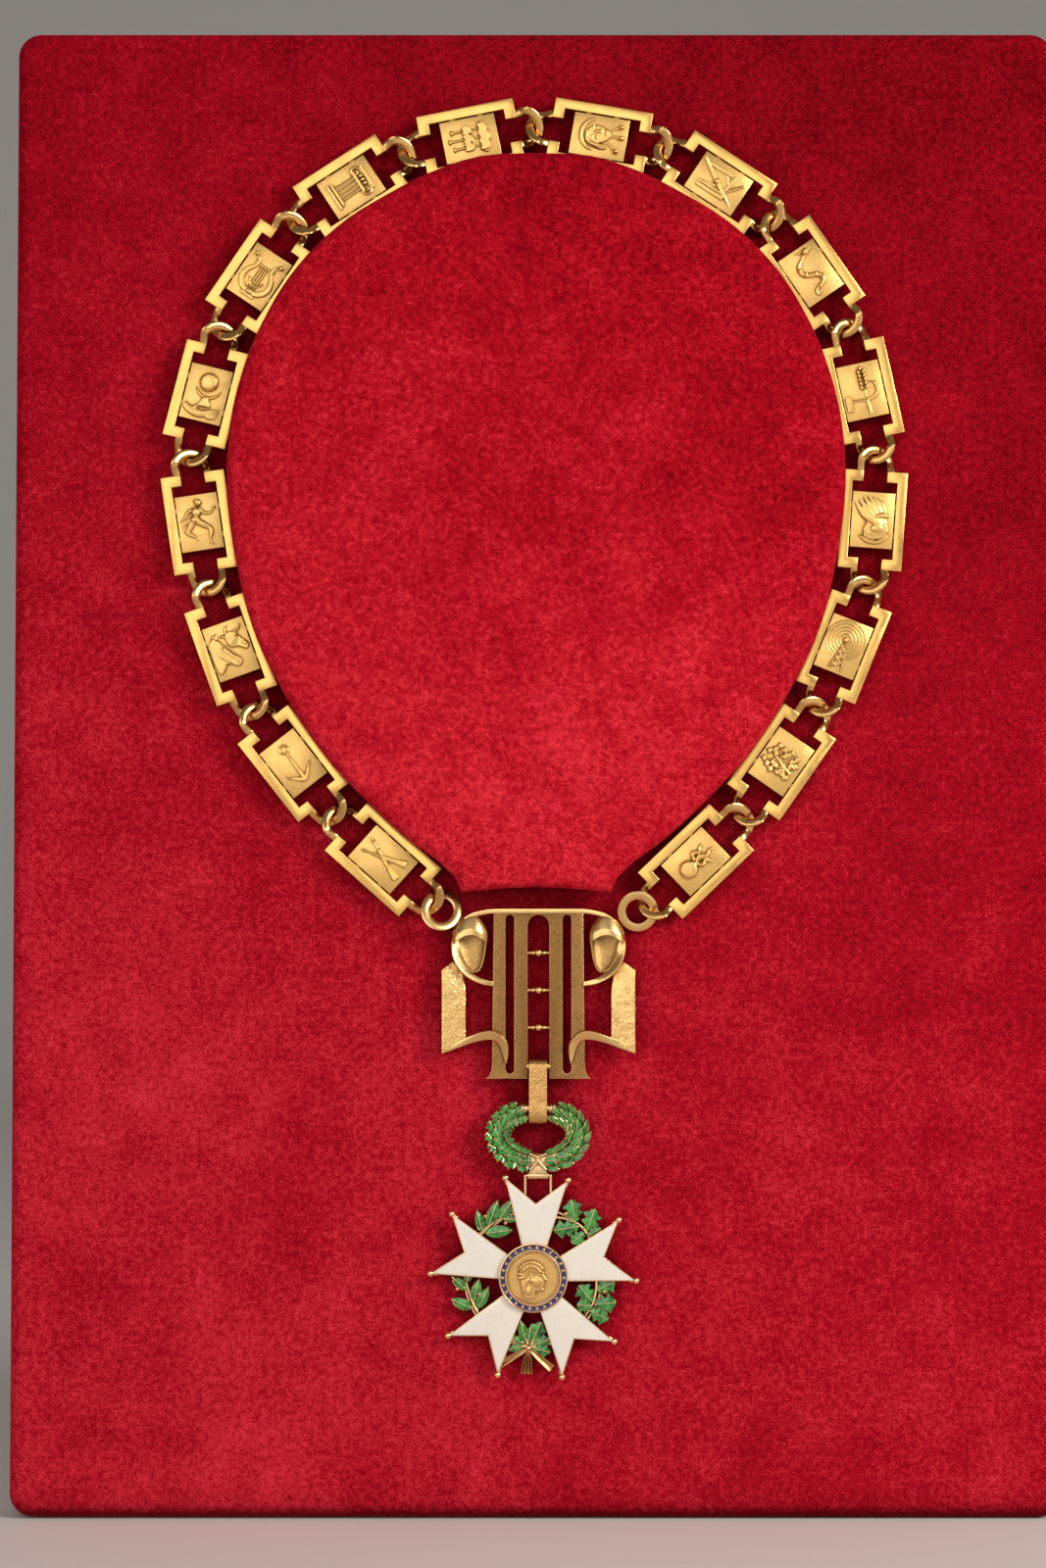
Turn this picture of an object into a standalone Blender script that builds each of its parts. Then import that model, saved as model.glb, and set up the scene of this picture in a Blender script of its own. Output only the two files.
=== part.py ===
"""Chivalric order collar on its velvet display board.

Sixteen pierced gold links, each with a plaque in raised relief, interlock round a raised neck pad. They
carry a pierced centre motif, from which hang a strap bail, an enamelled wreath and a five-armed enamelled star.

Metres, +Z up, the board's front facing -Y. The origin is the middle of the board's back face.
"""

import bpy
import bmesh
import math
from mathutils import Matrix, Vector

GAP = 0.00035  # clearance between pieces that touch on the real thing
STEP = 0.00001  # keeps the faces of joined solids out of one plane

# Display board and raised neck pad
BOARD_WIDTH = 0.403
BOARD_HEIGHT = 0.573
BOARD_THICKNESS = 0.030
BOARD_ROUNDING = 0.006
PAD_DEPTH = 0.0155
PAD_UNDERCUT = 0.0046  # how far the pad's foot stands back from its lip
PAD_LAP = 0.0015  # how far the pad's lip covers the inner bars of the links
PAD_TO_MOTIF = 0.0064  # from the pad's lower edge to the centre motif's top

# Links of the chain
LINK_LENGTH = 0.0380
LINK_WIDTH = 0.0247
LINK_THICKNESS = 0.0024
BAR_WIDTH = 0.0037
END_WALL = 0.0042
PLAQUE_LENGTH = 0.0215
PLAQUE_THICKNESS = 0.0016
PLAQUE_SLIT = 0.0005  # the saw cut between a plaque and the bars beside it
NUB_WIDTH = 0.0018
NUB_SPACING = 0.0110
RELIEF_HEIGHT = 0.0010
LOOP_RADIUS = 0.00595  # middle of the wire, at the rounded end
LOOP_NECK = 0.00230  # straight wire between the frame and the rounded end
WIRE_WIDTH = 0.0033
LOOP_PLAY = 0.0006  # between the wires of two loops that are linked
WIRE_THICKNESS = 0.0019
LOOP_TILT = 0.52  # rise of a loop's arm for each unit across it
LOOP_STEPS = 6
WIRE_SIDES = 6

# Chain route: the top joint, and the heading of each link in degrees, clockwise round the collar
COLLAR_X = -0.0005
COLLAR_INSET = 0.0385  # from the board's top edge to the chain's top joint
CHAIN = (
    # name, heading, emblem
    ("link_rifles", 138.2, "rifles"),
    ("link_anchor", 128.0, "anchor"),
    ("link_livestock", 109.7, "livestock"),
    ("link_athlete", 98.6, "athlete"),
    ("link_globe", 75.9, "globe"),
    ("link_lyre", 56.0, "lyre"),
    ("link_capital", 33.1, "capital"),
    ("link_ships", 11.5, "ships"),
    ("link_mask", -9.7, "mask"),
    ("link_compasses", -33.5, "compasses"),
    ("link_serpent", -55.6, "serpent"),
    ("link_sickle", -77.6, "sickle"),
    ("link_winged_cap", -94.2, "winged_cap"),
    ("link_radio_mast", -112.0, "radio_mast"),
    ("link_tree", -125.0, "tree"),
    ("link_grenade", -136.2, "grenade"),
)
LEFT_LINKS = 8

# Centre motif
MOTIF_X = 0.0009
MOTIF_THICKNESS = 0.0024
MOTIF_HEIGHT = 0.0647
MOTIF_BELOW_RINGS = 0.0004  # drop from the rings' centres to the motif's top edge
GRILLE_BAR = 0.0050
GRILLE_SLOT = 0.0034
CENTRE_SLOT = 0.0084
TOP_STRIP = 0.0022
FOOT_HEIGHT = 0.0018
FOOT_FLARE = 0.0026
TIE_THICKNESS = 0.0011
TIE_BEAD = 0.0030
TIES = (0.26, 0.48, 0.70)  # shares of the motif's height
RING_RADIUS = 0.0062
RING_WIRE = 0.0034
RING_TURNS = (6.0, -20.0)  # degrees that the left and right rings swing off their links' lines
RIBBON_THICKNESS = 0.0013
SCROLL_DROP = 0.0030  # from the motif's top edge to the scroll's
SCROLL_LENGTH = 0.0205
SCROLL_RADIUS = 0.0066
TAIL_WIDTH = 0.0034
FLAG_WIDTH = 0.0090
FLAG_HEIGHT = 0.0305
FLAG_OUT = 0.0322  # from the motif's middle to a flag's middle
FLAG_TOP = 0.0236  # below the motif's top edge
FOLD_WIDTH = 0.0030

# Bail
BAIL_WIDTH = 0.0071
STRAP_THICKNESS = 0.0010
BAIL_BAR_RADIUS = 0.00125
BAIL_BAR_RISE = 0.0047  # above the motif's feet
BAIL_LENGTH = 0.0160  # between the bar that it hangs on and the stem that hangs in it
BAIL_NOSE = 0.0035  # extra metal under the stem
BAIL_SLIDE = -0.0002

# Wreath
WREATH_WIDTH = 0.0385
WREATH_HEIGHT = 0.0256
WREATH_BAND = 0.0090  # at the sides
WREATH_BAND_ENDS = 0.0052  # at the top and the bottom
WREATH_DEPTH = 0.0044
STEM_RADIUS = 0.0016
LEAVES_PER_SIDE = 9
LEAF_BUMP = 0.13
HINGE_RADIUS = 0.00145
HINGE_LENGTH = 0.0078
HINGE_DROP = 0.0026  # from the wreath's lower edge to the hinge's axis
PIN_RADIUS = 0.00055

# Star
STAR_X = -0.0011
STAR_DROP = 0.0386  # from the hinge's axis to the star's middle
STAR_TURN = -2.0
ARMS = 5
ARM_REACH = 0.0392  # to the middles of the balls
ARM_NOTCH = 0.0280
ARM_SPREAD = 0.0240  # between the two balls of an arm
ARM_BASE = 0.0094
ARM_THICKNESS = 0.0020
BALL_RADIUS = 0.0014
MEDALLION_RADIUS = 0.0132
DISC_RADIUS = 0.0097
MEDALLION_HEIGHT = 0.0011
FRAME_WIDTH = 0.0108  # wire frame that the star hangs by
FRAME_SINK = 0.0015  # how far its ends run down behind the notch of the upper arm
BRANCH_RADIUS = 0.0262
BRANCH_THICKNESS = 0.0010
BRANCH_WIRE = 0.0012
LEAF_LENGTH = 0.0088
LEAF_WIDTH = 0.0052
SPRAY_SPREAD = 19.0  # degrees from a spray's middle to its end
BOW_DROP = 0.0299  # from the star's middle to the knot
BOW_TAIL = 0.0095
BOW_WIDTH = 0.0026
BOW_THICKNESS = 0.0012

# Worked out from the sizes above
LOOP_SPACING = 2 * LOOP_RADIUS - WIRE_WIDTH - LOOP_PLAY
LOOP_CENTRE = LINK_LENGTH / 2 + LOOP_NECK
PITCH = 2 * LOOP_CENTRE + LOOP_SPACING
LOOP_DROP = LOOP_TILT * (LOOP_RADIUS + WIRE_WIDTH / 2) + WIRE_THICKNESS / 2
BOARD_FRONT = -BOARD_THICKNESS
CHAIN_Y = BOARD_FRONT - GAP - LOOP_DROP
CAVITY = LINK_WIDTH / 2 - BAR_WIDTH
PLAQUE_WIDTH = 2 * (CAVITY - PLAQUE_SLIT)
RELIEF_UNIT = PLAQUE_WIDTH / 16
TOP_JOINT = (COLLAR_X, BOARD_HEIGHT / 2 - COLLAR_INSET)
GRILLE_EDGE = CENTRE_SLOT / 2 + 2 * GRILLE_BAR + GRILLE_SLOT

GOLD = ("satin gold", (0.83, 0.60, 0.24), 0.32, 1.0)
DARK_GOLD = ("antique gold", (0.52, 0.38, 0.19), 0.42, 1.0)
VELVET = ("crimson velvet", (0.48, 0.01, 0.04), 0.85, 0.0)
GREEN = ("green enamel", (0.01, 0.22, 0.07), 0.12, 0.0)
WHITE = ("white enamel", (0.86, 0.84, 0.80), 0.10, 0.0)
BLUE = ("blue enamel", (0.07, 0.05, 0.30), 0.12, 0.0)


def clear_scene():
    for obj in list(bpy.data.objects):
        bpy.data.objects.remove(obj)


def material(finish):
    name, colour, roughness, metallic = finish
    made = bpy.data.materials.get(name)
    if made is None:
        made = bpy.data.materials.new(name)
        made.use_nodes = True
        shader = made.node_tree.nodes["Principled BSDF"]
        shader.inputs["Base Color"].default_value = (*colour, 1.0)
        shader.inputs["Roughness"].default_value = roughness
        shader.inputs["Metallic"].default_value = metallic
    return made


def make_object(name, bm, finish, matrix=None):
    """An object from the bmesh, whose shape sits at the place that the matrix gives."""
    bmesh.ops.recalc_face_normals(bm, faces=bm.faces)
    mesh = bpy.data.meshes.new(name)
    bm.to_mesh(mesh)
    bm.free()
    mesh.materials.append(material(finish))
    obj = bpy.data.objects.new(name, mesh)
    bpy.context.collection.objects.link(obj)
    if matrix is not None:
        obj.matrix_world = matrix
    return obj


def hide_helper(obj):
    obj.hide_render = True
    obj.display_type = "WIRE"


def boolean(obj, helper, operation, own_overlaps=False):
    cut = obj.modifiers.new(operation.lower(), "BOOLEAN")
    cut.operation = operation
    cut.solver = "EXACT"
    cut.object = helper
    cut.use_self = own_overlaps
    hide_helper(helper)


def front_matrix(x, y, z, heading=0.0):
    """A frame whose local X runs along the heading on the board and whose local Z points to the front."""
    turn = Matrix.Rotation(-math.radians(heading), 4, "Y") @ Matrix.Rotation(math.pi / 2, 4, "X")
    return Matrix.Translation((x, y, z)) @ turn


def add_skin(bm, rings, closed=False):
    """Bridges rings of points, all of the same count, and caps the ends unless the last meets the first."""
    loops = [[bm.verts.new(point) for point in ring] for ring in rings]
    count = len(loops[0])
    pairs = list(zip(loops, loops[1:]))
    if closed:
        pairs.append((loops[-1], loops[0]))
    for near, far in pairs:
        for i in range(count):
            j = (i + 1) % count
            bm.faces.new((near[i], near[j], far[j], far[i]))
    if not closed:
        bm.faces.new(loops[0][::-1])
        bm.faces.new(loops[-1])


def add_prism(bm, outline, low, high):
    add_skin(bm, [[(x, y, z) for x, y in outline] for z in (low, high)])


def add_box(bm, lows, highs):
    (x0, y0, z0), (x1, y1, z1) = lows, highs
    add_prism(bm, ((x0, y0), (x1, y0), (x1, y1), (x0, y1)), z0, z1)


def circle(radius, sides, middle=(0.0, 0.0), start=0.0, sweep=360.0):
    """Points of a circle, or of an arc that includes both its ends."""
    steps = sides if sweep == 360.0 else sides - 1
    angles = [math.radians(start + sweep * i / steps) for i in range(sides)]
    return [(middle[0] + radius * math.cos(a), middle[1] + radius * math.sin(a)) for a in angles]


def ribbon_outline(points, widths):
    """The outline of a flat ribbon that follows the points, with its own width at each of them."""
    left, right = [], []
    for i, (x, y) in enumerate(points):
        before = points[max(i - 1, 0)]
        after = points[min(i + 1, len(points) - 1)]
        along = Vector((after[0] - before[0], after[1] - before[1])).normalized()
        reach = widths[i] / 2
        left.append((x - along.y * reach, y + along.x * reach))
        right.append((x + along.y * reach, y - along.x * reach))
    return left[::-1] + right


class Relief:
    """Raised work on a plaque, drawn in sixteenths of the plaque's width, X to its right and Y to its top."""

    def __init__(self, towards_front):
        self.bm = bmesh.new()
        self.turn = towards_front
        self.pieces = 0

    def spot(self, x, y):
        return (self.turn * y * RELIEF_UNIT, -self.turn * x * RELIEF_UNIT)

    def raise_outline(self, outline, height):
        """Each piece ends a little higher and starts a little lower than the last, so no faces coincide."""
        self.pieces += 1
        step = 2 * STEP * self.pieces
        low = -PLAQUE_THICKNESS * 0.2 - step
        high = PLAQUE_THICKNESS / 2 + height * RELIEF_HEIGHT + step
        add_prism(self.bm, [self.spot(x, y) for x, y in outline], low, high)

    def stroke(self, points, widths, height=1.0):
        if not hasattr(widths, "__len__"):
            widths = [widths] * len(points)
        self.raise_outline(ribbon_outline(points, widths), height)

    def arc(self, middle, radius, width, start, sweep, height=0.8, sides=7):
        self.stroke(circle(radius, sides, middle, start, sweep), width, height)

    def disc(self, x, y, radius, height=1.0, sides=8):
        self.raise_outline(circle(radius, sides, (x, y)), height)

    def dome(self, x, y, radius, height=1.5, sides=8):
        self.disc(x, y, radius, height * 0.6, sides)
        self.disc(x, y, radius * 0.66, height, sides)


def draw_rifles(relief):
    for side in (-1, 1):
        relief.stroke([(-3.4 * side, 7.0), (1.2 * side, -1.6)], 0.8)
        relief.stroke([(0.9 * side, -1.2), (2.0 * side, -3.4), (3.6 * side, -6.4)], [1.0, 1.7, 2.6], 1.2)
    relief.disc(0.0, 0.6, 0.9, 1.4, 6)


def draw_anchor(relief):
    relief.arc((0.0, 5.6), 1.5, 0.7, 0, 340, 0.8, 8)
    relief.stroke([(0.0, 4.4), (0.0, -5.2)], [0.8, 1.2])
    for side in (-1, 1):
        relief.stroke([(0.3 * side, -5.6), (2.6 * side, -3.8), (4.4 * side, -1.2)], [1.3, 1.2, 0.6], 1.1)


def draw_livestock(relief):
    relief.stroke([(-3.6, 4.8), (-2.2, 0.6), (-1.2, -4.6), (-0.6, -7.2)], [2.4, 4.2, 3.0, 1.8], 1.3)
    relief.stroke([(-3.2, 5.4), (-1.4, 7.6)], [1.5, 0.5], 1.0)
    relief.stroke([(0.4, 4.2), (2.6, 2.4), (5.6, 0.6)], [4.0, 3.0, 2.0], 0.9)
    for side in (-1, 1):
        relief.stroke([(1.4, 4.6), (2.2 + 1.6 * side, 6.4), (2.4 + 2.4 * side, 8.2)], [1.0, 0.8, 0.4], 0.7)


def draw_athlete(relief):
    relief.disc(0.2, 6.2, 1.2, 1.4, 8)
    relief.stroke([(0.0, 5.0), (-0.8, 1.0), (-1.2, -0.4)], [2.6, 2.0, 1.8], 1.3)
    relief.stroke([(0.8, 4.2), (3.4, 3.0), (5.4, 5.2)], [1.1, 0.9, 0.6], 1.0)
    relief.stroke([(-0.8, 4.2), (-3.6, 3.8), (-5.0, 1.4)], [1.1, 0.9, 0.6], 1.0)
    relief.stroke([(-0.8, 0.0), (2.6, -1.6), (3.0, -5.6), (4.4, -6.4)], [1.8, 1.4, 1.0, 0.6], 1.1)
    relief.stroke([(-1.4, 0.0), (-2.4, -3.8), (-6.0, -4.8)], [1.7, 1.2, 0.6], 1.1)


def draw_globe(relief):
    relief.dome(0.6, 4.2, 3.1, 1.7, 10)
    relief.arc((0.6, 3.8), 4.3, 0.6, 200, 140, 0.7, 6)
    relief.stroke([(0.4, 0.2), (0.4, -2.6)], [0.8, 2.6], 0.9)
    relief.stroke([(-5.4, -3.2), (-2.8, -4.8), (1.8, -5.4), (5.2, -5.0)], [1.1, 2.6, 2.4, 1.2], 1.1)


def draw_lyre(relief):
    for side in (-1, 1):
        points = [(4.8 * side, 6.4), (3.0 * side, 4.6), (3.9 * side, 0.4), (2.6 * side, -4.2), (0.0, -5.6)]
        relief.stroke(points, [0.9, 1.0, 1.4, 1.6, 1.8], 1.2)
    relief.stroke([(-3.9, 4.4), (3.9, 4.4)], 0.8, 0.9)
    for x in (-1.2, 0.0, 1.2):
        relief.stroke([(x, 4.2), (x, -5.0)], 0.35, 0.6)


def draw_capital(relief):
    relief.stroke([(-5.6, -7.0), (5.6, -7.0)], 1.0, 0.8)
    for x in (-2.7, 0.0, 2.7):
        relief.stroke([(x, -6.2), (x, 1.6)], 1.5, 1.0)
    relief.stroke([(-4.4, 2.4), (4.4, 2.4)], 1.3, 1.3)
    for side in (-1, 1):
        relief.dome(3.9 * side, 4.4, 1.6, 1.6, 8)
    relief.stroke([(-3.4, 5.4), (3.4, 5.4)], 0.9, 1.2)


def draw_ships(relief):
    relief.stroke([(-6.2, -3.4), (-3.0, -5.2), (3.0, -5.2), (6.2, -3.2)], [0.8, 2.0, 2.0, 0.8], 1.2)
    for x, top in ((-3.4, 4.4), (0.2, 6.8), (3.6, 4.8)):
        relief.stroke([(x, -4.6), (x, top)], 0.5, 0.7)
        relief.stroke([(x + 0.3, -3.2), (x - 0.5, 0.0), (x + 0.3, top - 1.2)], [3.0, 2.6, 1.4], 1.1)


def draw_mask(relief):
    relief.dome(0.4, 1.8, 3.6, 1.7, 8)
    relief.stroke([(-1.8, 4.6), (-3.8, 1.2), (-2.6, -2.8)], [1.8, 2.2, 0.8], 1.4)
    relief.stroke([(2.4, 3.2), (3.8, 0.6), (2.8, -2.6)], [1.2, 1.8, 0.8], 1.2)
    relief.arc((0.8, 1.0), 6.0, 0.9, 40, 80, 0.7, 6)
    for side in (-1, 1):
        relief.stroke([(-3.2 * side, -7.8), (1.2 * side, -2.6)], [1.1, 0.7], 0.8)


def draw_compasses(relief):
    relief.stroke([(-4.6, -4.6), (-4.6, 6.8)], 1.4, 0.8)
    relief.stroke([(-5.2, -4.4), (4.8, -4.4)], 1.4, 0.9)
    for side in (-1, 1):
        relief.stroke([(0.4, 7.0), (0.4 + 3.9 * side, -7.4)], [1.3, 0.5], 1.1)
    relief.disc(0.4, 7.2, 1.1, 1.4, 6)


def draw_serpent(relief):
    body = [(0.4 + 2.5 * math.sin(math.radians(48.0 * i)), 6.0 - 1.25 * i) for i in range(11)]
    relief.stroke(body, [1.5, 1.3, 1.3, 1.3, 1.2, 1.2, 1.1, 1.0, 0.9, 0.7, 0.4], 1.2)
    relief.disc(-0.4, 6.9, 1.3, 1.3, 6)


def draw_sickle(relief):
    relief.arc((1.0, -1.2), 3.6, 1.2, -70, 190, 1.1, 8)
    relief.stroke([(2.2, -4.6), (-3.4, -5.2)], 1.0, 1.0)
    relief.stroke([(-0.3, 3.0), (0.2, -6.8)], 0.5, 0.7)
    relief.stroke([(-0.4, 2.6), (-0.5, 5.0), (-0.6, 8.2)], [1.6, 2.8, 0.6], 1.0)
    relief.stroke([(-4.8, -2.8), (-4.8, -7.0)], 1.5, 1.2)


def draw_winged_cap(relief):
    relief.stroke([(-2.6, -5.6), (0.2, -4.2), (3.0, -5.6)], [1.8, 3.6, 1.8], 1.4)
    relief.stroke([(-4.4, -6.6), (4.4, -6.6)], 0.9, 0.9)
    for feather in range(4):
        points = [(1.8 - 0.6 * feather, -3.2), (2.0 - 1.3 * feather, 1.4),
                  (-0.4 - 1.4 * feather, 7.0 - 0.9 * feather)]
        relief.stroke(points, [1.6, 1.6, 0.6], 1.5 - 0.22 * feather)


def draw_radio_mast(relief):
    for radius in (1.9, 3.9, 5.9):
        relief.arc((0.0, 2.6), radius, 0.6, -50, 280, 0.6, 8)
    for side in (-1, 1):
        relief.stroke([(0.2 * side, 2.4), (1.9 * side, -8.0)], 0.7, 1.1)
    relief.dome(0.0, 2.8, 0.8, 1.4, 6)


def draw_tree(relief):
    relief.stroke([(0.4, -7.6), (0.0, -2.0), (0.3, 5.4)], [2.0, 1.4, 0.6], 1.2)
    for side in (-1, 1):
        for y, reach in ((-2.8, 5.4), (0.2, 4.8), (3.0, 3.4)):
            points = [(0.0, y), (reach * 0.55 * side, y + 1.0), (reach * side, y + 2.6)]
            relief.stroke(points, [0.9, 1.7, 0.8], 1.1 - 0.1 * side)
    relief.dome(0.2, 6.2, 1.4, 1.2, 6)


def draw_grenade(relief):
    relief.dome(0.0, -2.8, 2.9, 1.9, 10)
    relief.stroke([(0.0, -0.4), (0.0, 0.8)], 1.8, 1.2)
    for x, lean in ((-1.2, -2.4), (0.0, 0.4), (1.2, 2.6)):
        points = [(x * 0.5, 0.6), (x + lean * 0.2, 3.0), (x + lean * 0.1, 5.0), (x + lean, 7.2)]
        relief.stroke(points, [1.0, 1.2, 0.9, 0.4], 1.0 + 0.1 * x)


EMBLEMS = {
    "rifles": draw_rifles,
    "anchor": draw_anchor,
    "livestock": draw_livestock,
    "athlete": draw_athlete,
    "globe": draw_globe,
    "lyre": draw_lyre,
    "capital": draw_capital,
    "ships": draw_ships,
    "mask": draw_mask,
    "compasses": draw_compasses,
    "serpent": draw_serpent,
    "sickle": draw_sickle,
    "winged_cap": draw_winged_cap,
    "radio_mast": draw_radio_mast,
    "tree": draw_tree,
    "grenade": draw_grenade,
}


def wire_section(width, thickness, sides):
    """Points (across, up) of a flattened round section with its corners at the two edges."""
    angles = [2 * math.pi * i / sides for i in range(sides)]
    return [(width / 2 * math.cos(a), thickness / 2 * math.sin(a) / math.cos(math.pi / sides))
            for a in angles]


def add_loop(bm, direction, tilt):
    """The wire loop at one end of a link: two arms out of the end wall and a round end, twisted by the tilt."""
    root = LINK_LENGTH / 2 - END_WALL * 0.7
    stations = [((root, -LOOP_RADIUS), -90.0), ((LINK_LENGTH / 2, -LOOP_RADIUS), -90.0)]
    for step in range(LOOP_STEPS + 1):
        angle = -90.0 + 180.0 * step / LOOP_STEPS
        turn = math.radians(angle)
        spot = (LOOP_CENTRE + LOOP_RADIUS * math.cos(turn), LOOP_RADIUS * math.sin(turn))
        stations.append((spot, angle))
    stations += [((LINK_LENGTH / 2, LOOP_RADIUS), 90.0), ((root, LOOP_RADIUS), 90.0)]
    twist_end = LOOP_CENTRE + LOOP_RADIUS * 0.4
    rings = []
    for (u, v), angle in stations:
        turn = math.radians(angle)
        share = min(max((u - LINK_LENGTH / 2) / (twist_end - LINK_LENGTH / 2), 0.0), 1.0)
        ramp = share * share * (3 - 2 * share)
        ring = []
        for across, up in wire_section(WIRE_WIDTH, WIRE_THICKNESS, WIRE_SIDES):
            x = u + across * math.cos(turn)
            y = v + across * math.sin(turn)
            ring.append((direction * x, y, up + tilt * ramp * y))
        rings.append(ring)
    add_skin(bm, rings)


def add_frame_half(bm, side):
    """One side bar of a link with its two end walls."""
    half = LINK_LENGTH / 2
    inner = half - END_WALL
    low = LOOP_RADIUS - WIRE_WIDTH * 0.4
    high = LINK_WIDTH / 2
    outline = [(-half, low), (-inner, low), (-inner, CAVITY), (inner, CAVITY), (inner, low), (half, low)]
    outline += [(half, high), (-half, high)]
    add_prism(bm, [(u, side * v) for u, v in outline], -LINK_THICKNESS / 2, LINK_THICKNESS / 2)


def make_link(name, emblem, matrix, on_left):
    bm = bmesh.new()
    add_frame_half(bm, 1)
    add_frame_half(bm, -1)
    link = make_object(name, bm, GOLD, matrix)
    bm = bmesh.new()
    add_loop(bm, 1, LOOP_TILT)
    add_loop(bm, -1, -LOOP_TILT)
    half = PLAQUE_THICKNESS / 2
    add_box(bm, (-PLAQUE_LENGTH / 2, -PLAQUE_WIDTH / 2, -half), (PLAQUE_LENGTH / 2, PLAQUE_WIDTH / 2, half))
    for side in (-1, 1):
        for end in (-1, 1):
            middle = end * NUB_SPACING / 2
            edges = sorted((side * (PLAQUE_WIDTH / 2 - GAP), side * (CAVITY + GAP)))
            add_box(
                bm,
                (middle - NUB_WIDTH / 2, edges[0], -half * 0.7),
                (middle + NUB_WIDTH / 2, edges[1], half * 0.7),
            )
    fittings = make_object(name + "_fittings", bm, GOLD, matrix)
    boolean(link, fittings, "UNION")
    relief = Relief(1 if on_left else -1)
    EMBLEMS[emblem](relief)
    raised = make_object(name + "_relief", relief.bm, GOLD, matrix)
    boolean(link, raised, "UNION", own_overlaps=True)
    return link


def chain_places():
    """The middle (x, z) of each link, and the joints at the chain's two free ends."""
    steps = [
        Vector((math.cos(math.radians(heading)), math.sin(math.radians(heading)))) * PITCH
        for _, heading, _ in CHAIN
    ]
    places = [None] * len(CHAIN)
    joint = Vector(TOP_JOINT)
    for i in range(LEFT_LINKS, len(CHAIN)):
        places[i] = joint + steps[i] / 2
        joint = joint + steps[i]
    right_end = joint
    joint = Vector(TOP_JOINT)
    for i in range(LEFT_LINKS - 1, -1, -1):
        places[i] = joint - steps[i] / 2
        joint = joint - steps[i]
    return places, joint, right_end


# Outline of one half of the neck pad, as shares of its half width and of its drop from the top
PAD_HALF = (
    # across, down
    (0.000, 0.000),
    (0.180, 0.004),
    (0.347, 0.027),
    (0.486, 0.057),
    (0.610, 0.089),
    (0.717, 0.128),
    (0.800, 0.169),
    (0.866, 0.214),
    (0.928, 0.270),
    (0.980, 0.345),
    (1.000, 0.424),
    (0.991, 0.497),
    (0.950, 0.592),
    (0.900, 0.660),
    (0.835, 0.716),
    (0.752, 0.775),
    (0.655, 0.830),
    (0.545, 0.878),
    (0.425, 0.925),
    (0.312, 0.960),
    (0.262, 0.980),
    (0.236, 0.999),
    (0.215, 1.000),
    (0.100, 0.995),
)
# Section of the pad's edge, from the board outwards
PAD_EDGE = (
    # inset from the lip as a share of the undercut, share of the depth above the links
    (1.00, 0.05),
    (0.30, 0.10),
    (0.00, 0.32),
    (0.15, 0.60),
    (0.65, 0.85),
)
# The crown inside that edge
PAD_CROWN = (
    # scale about the pad's middle, share of the depth above the links
    (0.955, 0.97),
    (0.920, 1.00),
)


def pad_outline(half_width, top, drop):
    right = [(half_width * across, top - drop * down) for across, down in PAD_HALF]
    left = [(-x, z) for x, z in right[1:]]
    return right + [(0.0, top - drop * 0.993)] + left[::-1]


def inset_outline(outline, inset):
    moved = []
    count = len(outline)
    for i, (x, z) in enumerate(outline):
        before = outline[i - 1]
        after = outline[(i + 1) % count]
        along = Vector((after[0] - before[0], after[1] - before[1])).normalized()
        moved.append((x + along.y * inset, z - along.x * inset))
    return moved


def make_board():
    bm = bmesh.new()
    add_box(
        bm,
        (-BOARD_WIDTH / 2, -BOARD_THICKNESS, -BOARD_HEIGHT / 2),
        (BOARD_WIDTH / 2, 0.0, BOARD_HEIGHT / 2),
    )
    bmesh.ops.bevel(
        bm,
        geom=bm.edges[:],
        offset=BOARD_ROUNDING,
        segments=3,
        profile=0.5,
        affect="EDGES",
    )
    return make_object("display_board", bm, VELVET)


def make_pad(places, motif_top):
    half_width = max(abs(place.x) for place in places) - LINK_WIDTH / 2 + PAD_LAP
    top = TOP_JOINT[1] - LINK_WIDTH / 2 + PAD_LAP * 0.4
    drop = top - PAD_TO_MOTIF - motif_top
    outline = [(x, z) for x, z in reversed(pad_outline(half_width, top, drop))]
    foot = BOARD_FRONT - GAP
    over_links = CHAIN_Y - LINK_THICKNESS / 2 - GAP
    height = foot - PAD_DEPTH - over_links
    rings = [[(x, foot, z) for x, z in inset_outline(outline, -PAD_UNDERCUT)]]
    for inset, rise in PAD_EDGE:
        edge = inset_outline(outline, -PAD_UNDERCUT * inset)
        rings.append([(x, over_links + height * rise, z) for x, z in edge])
    middle = top - drop / 2
    for scale, rise in PAD_CROWN:
        rings.append([(x * scale, over_links + height * rise, middle + (z - middle) * scale)
                      for x, z in outline])
    bm = bmesh.new()
    add_skin(bm, rings)
    return make_object("neck_pad", bm, VELVET)


def grille_outline():
    """The motif's plate, top edge at Y 0, with feet that flare outwards."""
    flare = []
    for degrees in (0, 30, 60):
        turn = math.radians(degrees)
        out, up = FOOT_FLARE * (1 - math.cos(turn)), 2.1 * FOOT_FLARE * (1 - math.sin(turn))
        flare.append((GRILLE_EDGE + out, -MOTIF_HEIGHT + up))
    side = [(GRILLE_EDGE, 0.0)] + flare + [(GRILLE_EDGE + FOOT_FLARE, -MOTIF_HEIGHT)]
    return [(-x, y) for x, y in side] + [(x, y) for x, y in reversed(side)]


def slot_outline(middle, width, top, bottom, sides=5):
    upper = circle(width / 2, sides, (middle, top - width / 2), 0.0, 180.0)
    lower = circle(width / 2, sides, (middle, bottom + width / 2), 180.0, 180.0)
    return upper + lower


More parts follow.
